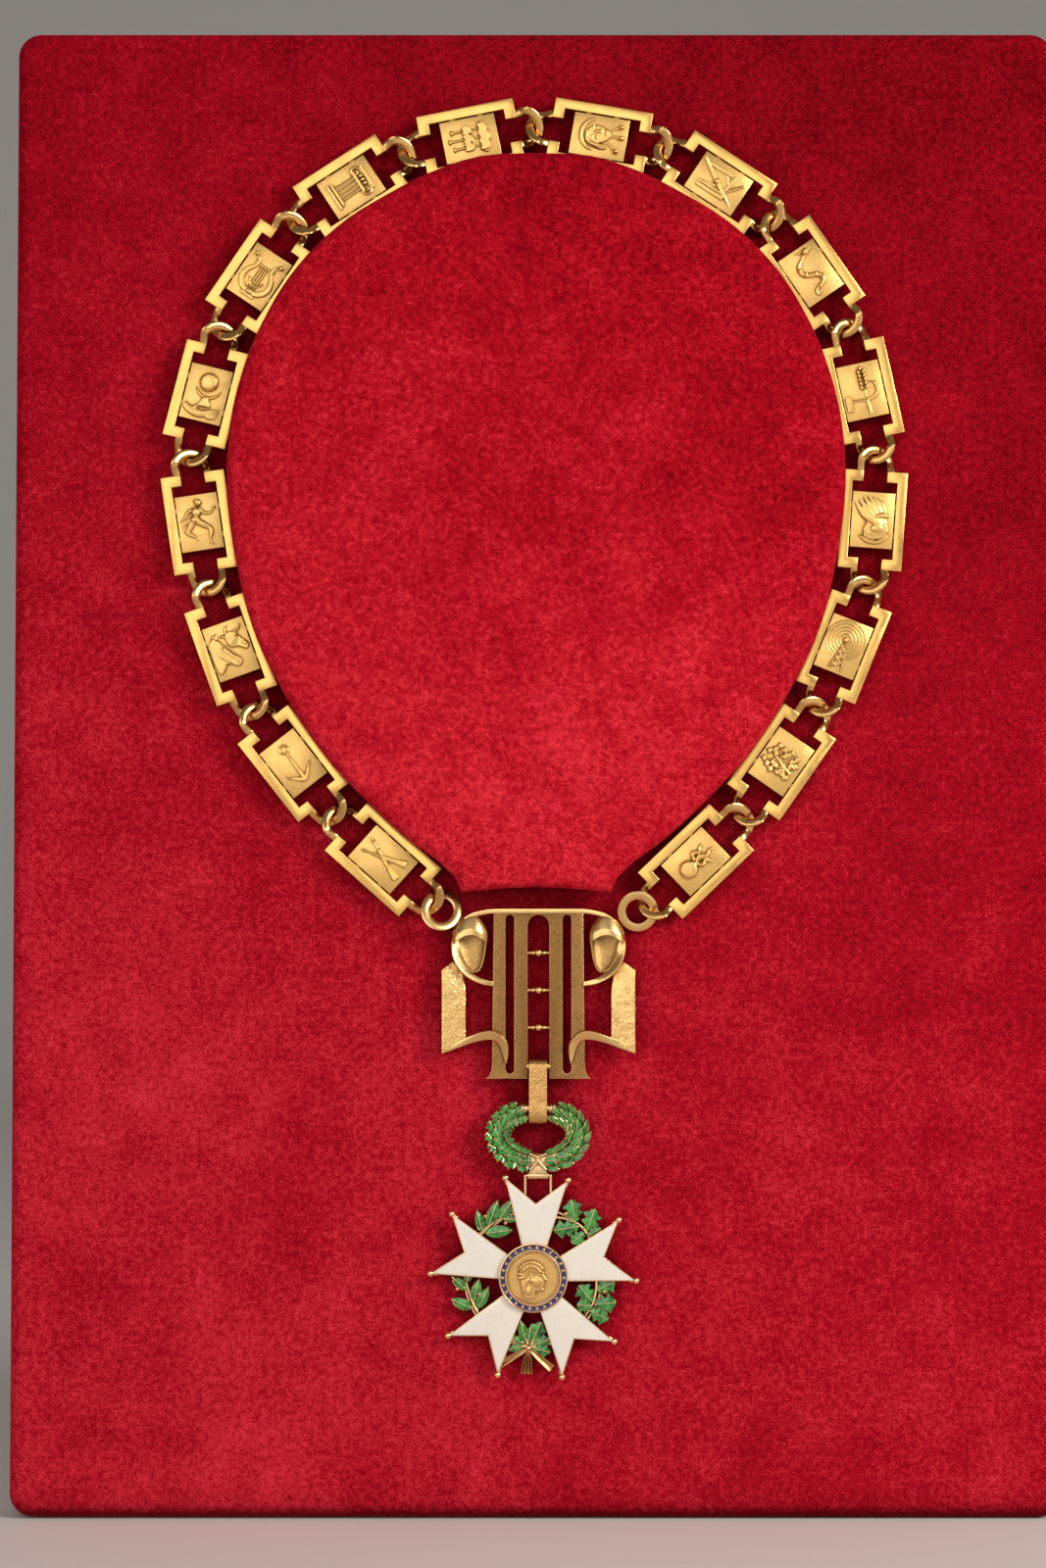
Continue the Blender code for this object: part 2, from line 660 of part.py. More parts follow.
def add_ring(bm, middle, towards, tilt):
    """A soldered ring, tilted about the line that runs towards the chain."""
    line = Vector(towards).normalized()
    across_line = Vector((-line.y, line.x))
    rings = []
    for step in range(12):
        angle = 2 * math.pi * step / 12
        out = line * math.cos(angle) + across_line * math.sin(angle)
        ring = []
        for across, up in wire_section(RING_WIRE, WIRE_THICKNESS, WIRE_SIDES):
            reach = RING_RADIUS + across
            spot = Vector(middle) + out * reach
            ring.append((spot.x, spot.y, up + tilt * reach * math.sin(angle)))
        rings.append(ring)
    add_skin(bm, rings, closed=True)


def add_ribbon(bm, spine, widths, thickness):
    """A flat strip of metal that lies in the motif's plane and follows the spine's points."""
    rings = []
    for i, spot in enumerate(spine):
        before, after = Vector(spine[max(i - 1, 0)]), Vector(spine[min(i + 1, len(spine) - 1)])
        along = (after - before).normalized()
        side = Vector((0, 0, 1)).cross(along).normalized()
        rise = along.cross(side)
        w, t = widths[i] / 2, thickness / 2
        corners = ((-1, -1), (1, -1), (1, 1), (-1, 1))
        rings.append([Vector(spot) + side * across * w + rise * up * t for across, up in corners])
    add_skin(bm, rings)


def add_scroll(bm, side, anchor):
    """The ribbon end rolled into a cone that leans towards the motif's middle."""
    rings = []
    for share, radius in ((0.0, 0.34), (0.16, 0.72), (0.45, 1.0), (0.75, 0.80), (1.0, 0.28)):
        lean = side * SCROLL_RADIUS * 0.35 * share
        reach = radius * SCROLL_RADIUS
        depth = reach * 0.42 + RIBBON_THICKNESS * 0.9
        y = anchor[1] - SCROLL_LENGTH * share
        rings.append([(anchor[0] - lean + reach * x, y, depth * z) for x, z in circle(1.0, 8)])
    add_skin(bm, rings)


def ribbon_parts(side, spot):
    """Each ribbon of one side as its spine, its widths and its thickness. The spot is the ring's middle."""
    radius, length, thick, bar = SCROLL_RADIUS, SCROLL_LENGTH, RIBBON_THICKNESS, GRILLE_BAR
    x, y = GRILLE_EDGE + radius * 1.35, -SCROLL_DROP
    neck = [
        (GRILLE_EDGE - bar * 0.4, -TOP_STRIP * 0.5, 0.0),
        (GRILLE_EDGE + radius * 0.6, -TOP_STRIP * 0.7, 0.0),
        (x, y + TOP_STRIP * 0.1, 0.0),
        (side * spot[0] - RING_RADIUS * 0.8, spot[1] - RING_RADIUS * 0.5, 0.0),
    ]
    tail = [
        (x + radius * 0.83, y - length * 0.52, thick * 0.2),
        (x + radius * 0.71, y - length * 0.75, thick * 0.5),
        (x + radius * 0.32, y - length * 0.98, thick * 0.7),
        (x - radius * 0.24, y - length * 1.13, thick * 0.6),
        (x - radius * 0.83, y - length * 1.21, thick * 0.4),
        (GRILLE_EDGE - bar * 0.3, y - length * 1.25, thick * 0.2),
    ]
    low = -FLAG_TOP - FLAG_HEIGHT
    flag = [
        (FLAG_OUT - FLAG_WIDTH * 0.1, -FLAG_TOP + FLAG_WIDTH * 0.45, 0.0),
        (FLAG_OUT, -FLAG_TOP, thick * 0.3),
        (FLAG_OUT + FLAG_WIDTH * 0.05, -FLAG_TOP - FLAG_HEIGHT * 0.5, thick * 0.45),
        (FLAG_OUT, low, thick * 0.15),
    ]
    hem = low + FOLD_WIDTH * 0.65
    fold = [
        (FLAG_OUT + FLAG_WIDTH * 0.36, hem - FOLD_WIDTH * 0.4, thick * 0.3),
        (FLAG_OUT - FLAG_WIDTH * 0.6, hem + FOLD_WIDTH, thick * 0.7),
        (GRILLE_EDGE, hem + FOLD_WIDTH * 1.45, thick * 1.2),
        (GRILLE_EDGE - bar * 0.8, hem + FOLD_WIDTH * 0.75, thick * 1.3),
        (GRILLE_EDGE - bar * 1.06, hem - FOLD_WIDTH * 1.1, thick * 1.1),
        (GRILLE_EDGE - bar * 0.85, hem - FOLD_WIDTH * 2.3, thick * 0.7),
    ]
    parts = (
        (neck, [TOP_STRIP * 0.9] * 4, thick * 1.2),
        (tail, [TAIL_WIDTH * share for share in (0.9, 1.0, 0.9, 0.75, 0.65, 0.5)], thick * 1.4),
        (flag, [FLAG_WIDTH * share for share in (0.45, 1.0, 1.0, 0.96)], thick),
        (fold, [FOLD_WIDTH * share for share in (0.75, 1.0, 1.0, 1.0, 0.8, 0.45)], thick * 1.1),
    )
    return [([(side * a, b, c) for a, b, c in spine], widths, depth) for spine, widths, depth in parts]


def motif_top(rings_at):
    return min(middle.y for middle, _ in rings_at) - MOTIF_BELOW_RINGS + RING_RADIUS * 0.25


def make_motif(rings_at):
    """rings_at holds each ring's middle and the direction from it to the chain, left one first."""
    top = motif_top(rings_at)
    matrix = front_matrix(MOTIF_X, CHAIN_Y, top)
    bm = bmesh.new()
    add_prism(bm, grille_outline(), -MOTIF_THICKNESS / 2, MOTIF_THICKNESS / 2)
    motif = make_object("centre_motif", bm, DARK_GOLD, matrix)
    slots = bmesh.new()
    through = MOTIF_THICKNESS
    beside = CENTRE_SLOT / 2 + GRILLE_BAR + GRILLE_SLOT / 2
    for side in (-1, 1):
        outline = slot_outline(side * beside, GRILLE_SLOT, -TOP_STRIP, -MOTIF_HEIGHT + FOOT_HEIGHT)
        add_prism(slots, outline, -through, through)
    outline = slot_outline(0.0, CENTRE_SLOT, -TOP_STRIP, -MOTIF_HEIGHT - CENTRE_SLOT, 7)
    add_prism(slots, outline, -through * 1.1, through * 1.1)
    boolean(motif, make_object("motif_slots", slots, DARK_GOLD, matrix), "DIFFERENCE")

    ties = bmesh.new()
    reach = CENTRE_SLOT / 2 + GRILLE_BAR / 2
    for i, share in enumerate(TIES):
        y = -MOTIF_HEIGHT * share
        depth = MOTIF_THICKNESS * (0.30 + 0.02 * i)
        add_box(ties, (-reach, y - TIE_THICKNESS / 2, -depth), (reach, y + TIE_THICKNESS / 2, depth))
        add_prism(ties, circle(TIE_BEAD / 2, 8, (0.0, y), 22.5), -depth * 1.3, depth * 1.3)
    bar_y = -MOTIF_HEIGHT + BAIL_BAR_RISE
    ring = circle(BAIL_BAR_RADIUS, 8, (bar_y, 0.0), 22.5)
    add_skin(ties, [[(x, y, z) for y, z in ring] for x in (-reach, reach)])
    boolean(motif, make_object("motif_ties", ties, DARK_GOLD, matrix), "UNION", own_overlaps=True)

    trim = bmesh.new()
    for side, (middle, towards) in zip((-1, 1), rings_at):
        spot = (middle.x - MOTIF_X, middle.y - top)
        add_ring(trim, spot, towards, LOOP_TILT)
        add_scroll(trim, side, (side * (GRILLE_EDGE + SCROLL_RADIUS * 1.35), -SCROLL_DROP))
        for spine, widths, thickness in ribbon_parts(side, spot):
            add_ribbon(trim, spine, widths, thickness)
    boolean(motif, make_object("motif_trim", trim, GOLD, matrix), "UNION", own_overlaps=True)
    return motif, top + bar_y


def capsule(upper, upper_radius, lower, lower_radius, sides=6):
    """A closed strap outline round two levels on Y, as (depth, height) points."""
    points = [(upper_radius * math.cos(math.radians(a)), upper + upper_radius * math.sin(math.radians(a)))
              for a in [180.0 * i / (sides - 1) for i in range(sides)]]
    points += [(lower_radius * math.cos(math.radians(a)), lower + lower_radius * math.sin(math.radians(a)))
               for a in [180.0 + 180.0 * i / (sides - 1) for i in range(sides)]]
    return points


def make_bail(pivot_z):
    """A strap loop round the motif's bar and the wreath's stem, with its origin on the bar's axis."""
    upper, lower = BAIL_BAR_RADIUS + GAP, STEM_RADIUS + GAP
    inner = capsule(0.0, upper, -BAIL_LENGTH, lower)
    outer = capsule(0.0, upper + STRAP_THICKNESS, -BAIL_LENGTH - BAIL_NOSE, lower + STRAP_THICKNESS)
    bm = bmesh.new()
    half = BAIL_WIDTH / 2
    loops = []
    for outline, x in ((inner, -half), (outer, -half), (outer, half), (inner, half)):
        loops.append([bm.verts.new((x, y, z)) for y, z in outline])
    count = len(inner)
    for near, far in zip(loops, loops[1:] + loops[:1]):
        for i in range(count):
            j = (i + 1) % count
            bm.faces.new((near[i], near[j], far[j], far[i]))
    x = MOTIF_X + BAIL_SLIDE
    return make_object("bail", bm, GOLD, Matrix.Translation((x, CHAIN_Y, pivot_z)))


def make_wreath(stem_z):
    """An oval of enamelled leaves, a bare stem at its top, and the hinge tube under it."""
    x = MOTIF_X + BAIL_SLIDE
    middle = -(WREATH_HEIGHT - WREATH_BAND_ENDS) / 2
    matrix = front_matrix(x, CHAIN_Y, stem_z)
    bm = bmesh.new()
    rings = []
    steps = 4 * LEAVES_PER_SIDE
    stem_half = BAIL_WIDTH / 2 + GAP
    for step in range(steps):
        angle = 2 * math.pi * (step + 0.5) / steps + math.pi / 2
        across = abs(math.cos(angle))
        band = WREATH_BAND_ENDS + (WREATH_BAND - WREATH_BAND_ENDS) * across
        spine = Vector(
            (
                (WREATH_WIDTH - WREATH_BAND) / 2 * math.cos(angle),
                (WREATH_HEIGHT - WREATH_BAND_ENDS) / 2 * math.sin(angle),
            )
        )
        bump = 1 + LEAF_BUMP * (1 if step % 2 else -1)
        in_bail = math.sin(angle) > 0 and abs(spine.x) < stem_half + STEM_RADIUS * 0.75
        reach = STEM_RADIUS if in_bail else band / 2 * bump
        depth = STEM_RADIUS if in_bail else WREATH_DEPTH / 2 * (0.85 + 0.15 * bump)
        out = Vector((math.cos(angle), math.sin(angle)))
        if in_bail:
            out = Vector((0.0, 1.0))
            spine.y = (WREATH_HEIGHT - WREATH_BAND_ENDS) / 2
        ring = []
        for a, b in circle(1.0, 8):
            spot = spine + out * reach * a
            ring.append((spot.x, spot.y + middle, depth * b))
        rings.append(ring)
    add_skin(bm, rings, closed=True)
    wreath = make_object("wreath", bm, GREEN, matrix)
    foot = bmesh.new()
    hinge_y = middle - WREATH_HEIGHT / 2 - HINGE_DROP
    outline = [
        (-HINGE_LENGTH / 2, hinge_y),
        (HINGE_LENGTH / 2, hinge_y),
        (HINGE_LENGTH / 2, hinge_y + HINGE_RADIUS),
        (HINGE_RADIUS * 0.55, middle - WREATH_HEIGHT / 2 + WREATH_BAND_ENDS * 0.7),
        (-HINGE_RADIUS * 0.55, middle - WREATH_HEIGHT / 2 + WREATH_BAND_ENDS * 0.7),
        (-HINGE_LENGTH / 2, hinge_y + HINGE_RADIUS),
    ]
    add_prism(foot, outline, -HINGE_RADIUS * 0.8, HINGE_RADIUS * 0.85)
    tube = circle(HINGE_RADIUS, 10, (hinge_y, 0.0), 18.0)
    add_skin(foot, [[(end * HINGE_LENGTH * 0.51, y, z) for y, z in tube] for end in (-1, 1)])
    boolean(wreath, make_object("wreath_foot", foot, GOLD, matrix), "UNION", own_overlaps=True)
    bore = bmesh.new()
    hole = circle(PIN_RADIUS + GAP, 8, (hinge_y, 0.0), 22.5)
    add_skin(bore, [[(end * HINGE_LENGTH, y, z) for y, z in hole] for end in (-1, 1)])
    boolean(wreath, make_object("wreath_bore", bore, GOLD, matrix), "DIFFERENCE")
    return wreath, stem_z + hinge_y


def arm_outline():
    """One double-pointed arm of the star, pointing along +Y from the star's middle."""
    spread = ARM_SPREAD / 2
    tip = math.sqrt(ARM_REACH**2 - spread**2)
    foot = DISC_RADIUS * 0.9
    return [(-ARM_BASE / 2 * 0.86, foot), (ARM_BASE / 2 * 0.86, foot), (spread, tip), (0.0, ARM_NOTCH),
            (-spread, tip)]


def turned(points, degrees):
    turn = math.radians(degrees)
    return [
        (x * math.cos(turn) - y * math.sin(turn), x * math.sin(turn) + y * math.cos(turn))
        for x, y in points
    ]


def add_ball(bm, middle, radius, sides=7):
    rings = []
    for tilt in (-58.0, 0.0, 58.0):
        level = radius * math.sin(math.radians(tilt))
        reach = radius * math.cos(math.radians(tilt))
        rings.append([(x, y, level) for x, y in circle(reach, sides, middle)])
    add_skin(bm, rings)


def make_star(hinge_z):
    """The white arms with their balls, a core behind the medallion and the wire frame, soldered into one."""
    matrix = front_matrix(STAR_X, CHAIN_Y, hinge_z)
    half = ARM_THICKNESS / 2
    bm = bmesh.new()
    core = [(x, y - STAR_DROP) for x, y in circle(MEDALLION_RADIUS * 0.97, 20)]
    add_prism(bm, core, -half * 0.9, half * 0.8)
    star = make_object("star_cross", bm, WHITE, matrix)
    arms = bmesh.new()
    for arm in range(ARMS):
        angle = STAR_TURN + 360.0 / ARMS * arm
        step = STEP * arm
        outline = [(x, y - STAR_DROP) for x, y in turned(arm_outline(), angle)]
        add_prism(arms, outline, -half - step, half + step)
        for x, y in turned([arm_outline()[2], arm_outline()[4]], angle):
            add_ball(arms, (x, y - STAR_DROP), BALL_RADIUS)
    boolean(star, make_object("star_arms", arms, WHITE, matrix), "UNION", own_overlaps=True)
    frame = bmesh.new()
    reach = FRAME_WIDTH / 2 - PIN_RADIUS
    foot = -STAR_DROP + ARM_NOTCH - FRAME_SINK
    slide = -STAR_X + MOTIF_X + BAIL_SLIDE
    corners = [(-reach, foot), (-reach, 0.0), (reach, 0.0), (reach, foot)]
    rings = []
    for i, (x, y) in enumerate(corners):
        nearby = [corners[k] for k in (i - 1, i + 1) if 0 <= k < len(corners)]
        along = Vector((0.0, 1.0)) if i == 0 else Vector((0.0, -1.0))
        if len(nearby) == 2:
            side = 1 if i == 1 else -1
            along = Vector((1.0, side))
        across = Vector((along.y, -along.x))
        rings.append([(x + slide + across.x * PIN_RADIUS * a, y + across.y * PIN_RADIUS * a, PIN_RADIUS * b)
                      for a, b in circle(1.0, 6)])
    add_skin(frame, rings)
    boolean(star, make_object("star_frame", frame, GOLD, matrix), "UNION", own_overlaps=True)
    return star


def leaf_outline(root, angle, length, width, lobes=False):
    """A pointed leaf, or a lobed one, from its root along the angle."""
    rows = ((0.0, 0.12), (0.45, 0.50))
    if lobes:
        rows = ((0.0, 0.14), (0.35, 0.50), (0.55, 0.34), (0.75, 0.46))
    side = [(width * w, length * s) for s, w in rows]
    points = [(-w, s) for w, s in side] + [(0.0, length)] + [(w, s) for w, s in reversed(side)]
    return [(root[0] + x, root[1] + y) for x, y in turned(points, angle - 90.0)]


def add_branch(bm, middle_angle, lobes):
    """One spray of leaves between two arms, drawn about the star's middle."""
    half = BRANCH_THICKNESS / 2
    leaves = [(share, side * 55.0) for share in (-0.50, 0.22) for side in (-1, 1)] + [(0.85, 0.0)]
    for level, (share, lean) in enumerate(leaves):
        angle = middle_angle + SPRAY_SPREAD * share
        turn = math.radians(angle)
        root = (BRANCH_RADIUS * math.cos(turn), BRANCH_RADIUS * math.sin(turn))
        outline = leaf_outline(root, angle + 90.0 - lean, LEAF_LENGTH, LEAF_WIDTH, lobes)
        rise = STEP * level
        add_prism(bm, [(x, y - STAR_DROP) for x, y in outline], -half - rise, half + rise)


def make_branches(hinge_z):
    """Laurel on the left and oak on the right, on a ring behind the arms."""
    back = -ARM_THICKNESS / 2 - GAP - BOW_THICKNESS / 2 - 2 * ARMS * STEP
    matrix = front_matrix(STAR_X, CHAIN_Y - back, hinge_z)
    half = BRANCH_THICKNESS / 2
    bm = bmesh.new()
    outer = circle(BRANCH_RADIUS + BRANCH_WIRE / 2, 30)
    inner = circle(BRANCH_RADIUS - BRANCH_WIRE / 2, 30)
    loops = []
    for ring, z in ((inner, -half * 0.9), (outer, -half * 0.9), (outer, half * 0.9), (inner, half * 0.9)):
        loops.append([(x, y - STAR_DROP, z) for x, y in ring])
    verts = [[bm.verts.new(point) for point in loop] for loop in loops]
    for near, far in zip(verts, verts[1:] + verts[:1]):
        for i in range(len(outer)):
            j = (i + 1) % len(outer)
            bm.faces.new((near[i], near[j], far[j], far[i]))
    branches = make_object("star_branches", bm, GREEN, matrix)
    leaves = bmesh.new()
    for gap in range(ARMS):
        angle = 90.0 + STAR_TURN + 360.0 / ARMS * (gap + 0.5)
        add_branch(leaves, angle, lobes=math.cos(math.radians(angle)) > 0.05)
    bow = math.radians(90.0 + STAR_TURN + 180.0)
    knot = (BOW_DROP * math.cos(bow), BOW_DROP * math.sin(bow))
    for level, (lean, share) in enumerate(((-52.0, 1.0), (-90.0, 0.85), (-128.0, 1.0))):
        turn = math.radians(lean)
        end = (knot[0] + BOW_TAIL * share * math.cos(turn), knot[1] + BOW_TAIL * share * math.sin(turn))
        tail = [(x, y - STAR_DROP) for x, y in ribbon_outline([knot, end], [BOW_WIDTH * 0.45, BOW_WIDTH])]
        reach = BOW_THICKNESS / 2 + STEP * level
        add_prism(leaves, tail, -reach, reach)
    boolean(branches, make_object("branch_leaves", leaves, GREEN, matrix), "UNION", own_overlaps=True)
    return branches


def make_medallion_ring(hinge_z):
    """The blue enamel ring round the gold disc, set on the front of the star."""
    low = ARM_THICKNESS / 2 + GAP
    matrix = front_matrix(STAR_X, CHAIN_Y, hinge_z)
    bm = bmesh.new()
    sides = 28
    loops = []
    section = (
        (DISC_RADIUS + GAP, low),
        (MEDALLION_RADIUS, low),
        (MEDALLION_RADIUS, low + MEDALLION_HEIGHT * 0.6),
        (MEDALLION_RADIUS - MEDALLION_HEIGHT * 0.55, low + MEDALLION_HEIGHT),
        (DISC_RADIUS + GAP, low + MEDALLION_HEIGHT),
    )
    for radius, z in section:
        loops.append([bm.verts.new((x, y - STAR_DROP, z)) for x, y in circle(radius, sides)])
    for near, far in zip(loops, loops[1:] + loops[:1]):
        for i in range(sides):
            j = (i + 1) % sides
            bm.faces.new((near[i], near[j], far[j], far[i]))
    return make_object("medallion_ring", bm, BLUE, matrix)


def make_medallion_disc(hinge_z):
    """The gold disc with a laurelled head in profile, facing right."""
    low = ARM_THICKNESS / 2 + GAP
    matrix = front_matrix(STAR_X, CHAIN_Y, hinge_z)
    bm = bmesh.new()
    add_prism(bm, [(x, y - STAR_DROP) for x, y in circle(DISC_RADIUS, 24)], low, low + MEDALLION_HEIGHT * 0.8)
    disc = make_object("medallion_disc", bm, GOLD, matrix)
    unit = DISC_RADIUS / 10
    face = (
        (-3.6, -3.4), (-2.6, -6.6), (2.2, -6.8), (1.6, -4.6), (3.2, -4.0), (3.7, -2.6), (3.9, -1.2),
        (4.8, -0.4), (4.0, 1.6), (3.8, 3.2), (2.6, 5.0), (0.2, 6.0), (-2.6, 5.2), (-4.6, 2.8), (-4.8, 0.0),
    )
    head = bmesh.new()
    add_prism(
        head,
        [(x * unit, y * unit - STAR_DROP) for x, y in face],
        low + MEDALLION_HEIGHT * 0.3,
        low + MEDALLION_HEIGHT * 1.5,
    )
    hair = [(x * unit, y * unit - STAR_DROP) for x, y in circle(3.9, 10, (-1.6, 2.0))]
    add_prism(head, hair, low + MEDALLION_HEIGHT * 0.4, low + MEDALLION_HEIGHT * 1.85)
    boolean(disc, make_object("disc_head", head, GOLD, matrix), "UNION", own_overlaps=True)
    return disc


def joint_empty(name, x, z):
    empty = bpy.data.objects.new(name, None)
    empty.location = (x, CHAIN_Y, z)
    bpy.context.collection.objects.link(empty)
    return empty


def parent_to(child, parent):
    bpy.context.view_layer.update()
    world = child.matrix_world.copy()
    child.parent = parent
    child.matrix_parent_inverse = parent.matrix_world.inverted()
    child.matrix_world = world


def build():
    clear_scene()
    places, left_end, right_end = chain_places()
    make_board()
    for i, ((name, heading, emblem), place) in enumerate(zip(CHAIN, places)):
        make_link(name, emblem, front_matrix(place.x, CHAIN_Y, place.y, heading), i < LEFT_LINKS)
    rings_at = []
    for end, heading, turn in (
        (left_end, CHAIN[0][1] + 180.0, RING_TURNS[0]),
        (right_end, CHAIN[-1][1], RING_TURNS[1]),
    ):
        angle = math.radians(heading + turn)
        outward = Vector((math.cos(angle), math.sin(angle)))
        rings_at.append((end + outward * (LOOP_SPACING / 2 + RING_RADIUS - LOOP_RADIUS), -outward))
    make_pad(places, motif_top(rings_at))
    _, bar_z = make_motif(rings_at)
    bail_pivot = joint_empty("bail_pivot", MOTIF_X, bar_z)
    parent_to(make_bail(bar_z), bail_pivot)
    stem_z = bar_z - BAIL_LENGTH
    wreath_pivot = joint_empty("wreath_pivot", MOTIF_X + BAIL_SLIDE, stem_z)
    parent_to(wreath_pivot, bail_pivot)
    wreath, hinge_z = make_wreath(stem_z)
    parent_to(wreath, wreath_pivot)
    star_pivot = joint_empty("star_pivot", STAR_X, hinge_z)
    parent_to(star_pivot, wreath_pivot)
    for make in (make_star, make_branches, make_medallion_ring, make_medallion_disc):
        parent_to(make(hinge_z), star_pivot)


build()
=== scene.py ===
import math
import bpy
from mathutils import Matrix, Vector


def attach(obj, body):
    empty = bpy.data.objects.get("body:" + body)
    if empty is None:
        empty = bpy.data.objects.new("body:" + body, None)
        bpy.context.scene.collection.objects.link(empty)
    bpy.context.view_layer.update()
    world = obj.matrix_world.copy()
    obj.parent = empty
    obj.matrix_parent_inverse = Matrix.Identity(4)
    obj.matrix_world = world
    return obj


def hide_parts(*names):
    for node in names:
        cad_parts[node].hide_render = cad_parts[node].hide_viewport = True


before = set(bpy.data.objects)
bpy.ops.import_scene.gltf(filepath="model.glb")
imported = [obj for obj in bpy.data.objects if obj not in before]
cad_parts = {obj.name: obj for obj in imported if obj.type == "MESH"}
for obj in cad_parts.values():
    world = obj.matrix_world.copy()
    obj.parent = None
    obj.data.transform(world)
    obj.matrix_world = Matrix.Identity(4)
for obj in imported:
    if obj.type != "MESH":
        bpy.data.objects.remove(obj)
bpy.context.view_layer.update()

# The display board: a light core wrapped in crimson velvet. The cloth is pulled round its edges and corners,
# so they are rounded, and its short pile lies in soft patches that look lighter or darker.
BOARD_WIDTH, BOARD_HEIGHT, BOARD_DEPTH = 0.403, 0.573, 0.030
BOARD_CORNER, BOARD_EDGE = 0.009, 0.0058


def only(*objs):
    """Selects these objects alone, the first of them active."""
    bpy.ops.object.select_all(action="DESELECT")
    for obj in objs:
        obj.select_set(True)
    bpy.context.view_layer.objects.active = objs[0]


def edit(mode="VERT", everything=True):
    """Opens the active object for editing, with all or nothing of it selected."""
    bpy.ops.object.mode_set(mode="EDIT")
    bpy.ops.mesh.select_mode(type=mode)
    bpy.ops.mesh.select_all(action="SELECT" if everything else "DESELECT")


def close():
    bpy.ops.object.mode_set(mode="OBJECT")


def pick(obj, kind, test):
    """Opens the object with only those edges or faces selected that pass the test."""
    only(obj)
    edit(kind, False)
    close()
    for element in obj.data.edges if kind == "EDGE" else obj.data.polygons:
        element.select = test(element)
    bpy.ops.object.mode_set(mode="EDIT")


def modify(obj, kind, **settings):
    """Adds a modifier and applies it at once."""
    only(obj)
    made = obj.modifiers.new(kind.lower(), kind)
    for key, value in settings.items():
        setattr(made, key, value)
    bpy.ops.object.modifier_apply(modifier=made.name)


def soften(obj, width, segments=2, angle=30, **settings):
    """Rounds the edges that turn by more than the angle, in degrees."""
    modify(obj, "BEVEL", width=width, segments=segments, limit_method="ANGLE",
           angle_limit=math.radians(angle), **settings)


def painted(obj, *materials):
    """Gives the object these materials, in this order, and no others."""
    obj.data.materials.clear()
    for made in materials:
        obj.data.materials.append(made)
    return obj


def finish(obj, name, body, stands_for, smooth):
    """Smooths the shading and tells the frame what the piece is."""
    obj.name = name
    only(obj)
    bpy.ops.object.shade_smooth_by_angle(angle=math.radians(smooth))
    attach(obj, body)
    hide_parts(*stands_for)


def new_material(name, **shader_settings):
    """A material with a Principled shader that has these settings, its node tree and the shader."""
    made = bpy.data.materials.new(name)
    made.use_nodes = True
    shader = made.node_tree.nodes["Principled BSDF"]
    for key, value in shader_settings.items():
        shader.inputs[key.replace("_", " ")].default_value = value
    return made, made.node_tree, shader


def add_node(tree, kind, links=None, values=None, **settings):
    """A node with its settings, its values by socket, and what feeds its sockets."""
    made = tree.nodes.new(kind)
    for key, value in settings.items():
        setattr(made, key, value)
    for key, value in (values or {}).items():
        made.inputs[key].default_value = value
    for key, value in (links or {}).items():
        tree.links.new(value, made.inputs[key])
    return made


def new_group(name, inputs, outputs):
    """A shader group with its sockets. Inputs are (name, type, value), outputs are (name, type)."""
    tree = bpy.data.node_groups.new(name, "ShaderNodeTree")
    for title, kind, value in inputs:
        socket = tree.interface.new_socket(title, in_out="INPUT", socket_type="NodeSocket" + kind)
        socket.default_value = value
    for title, kind in outputs:
        tree.interface.new_socket(title, in_out="OUTPUT", socket_type="NodeSocket" + kind)
    return tree, tree.nodes.new("NodeGroupInput"), tree.nodes.new("NodeGroupOutput")


def from_group(name, group, values, **shader_settings):
    """A material whose shader is fed by the outputs of a group with these values."""
    made, tree, shader = new_material(name, **shader_settings)
    for output in add_node(tree, "ShaderNodeGroup", values=values, node_tree=group).outputs:
        tree.links.new(output, shader.inputs["Base Color" if output.name == "Color" else output.name])
    return made


def ramp(tree, source, low, high):
    """Stretches what lies between low and high to run from 0 to 1."""
    return add_node(tree, "ShaderNodeMapRange", {"Value": source},
                    {"From Min": low, "From Max": high}).outputs["Result"]


def mixed(tree, share, first, second):
    """Mixes two colours, each a socket or a plain value, by a share."""
    made = add_node(tree, "ShaderNodeMix", data_type="RGBA")
    for socket, value in ((made.inputs[0], share), (made.inputs[6], first), (made.inputs[7], second)):
        if hasattr(value, "links"):
            tree.links.new(value, socket)
        else:
            socket.default_value = (*value, 1.0)
    return made.outputs[2]


def noise(tree, where, scale, detail=2.0, roughness=0.5):
    return add_node(tree, "ShaderNodeTexNoise", {"Vector": where},
                    {"Scale": scale, "Detail": detail, "Roughness": roughness}).outputs[0]


def maths(tree, operation, first, second):
    """One sum of two values, each a socket or a number."""
    made = add_node(tree, "ShaderNodeMath", operation=operation)
    for socket, value in zip(made.inputs, (first, second)):
        if hasattr(value, "links"):
            tree.links.new(value, socket)
        else:
            socket.default_value = value
    return made.outputs[0]


def times(tree, first, second):
    return maths(tree, "MULTIPLY", first, second)


# Velvet pile: large soft patches, smaller flecks and single tufts, the brightest of them painted as pinker
# glints. Painted light makes the cloth lighter towards the lower left, and painted shade makes it dark in the
# nooks under the links.
nap, nap_in, nap_out = new_group(
    "velvet pile",
    (("Dark", "Color", (0.2, 0.0, 0.0, 1)), ("Light", "Color", (0.6, 0.0, 0.0, 1)),
     ("Painted Glint", "Color", (0.9, 0.2, 0.2, 1)), ("Weave", "Float", 0.0), ("Painted Light Slope", "Float", 1.0)),
    (("Color", "Color"), ("Normal", "Vector")),
)
spot = add_node(nap, "ShaderNodeTexCoord").outputs["Object"]
patches = noise(nap, spot, 13.0, 4.0, 0.62)
clouds = noise(nap, spot, 60.0, 3.0, 0.6)
flecks = noise(nap, spot, 400.0, 3.0, 0.7)
tufts = noise(nap, spot, 1300.0, 2.0, 0.6)
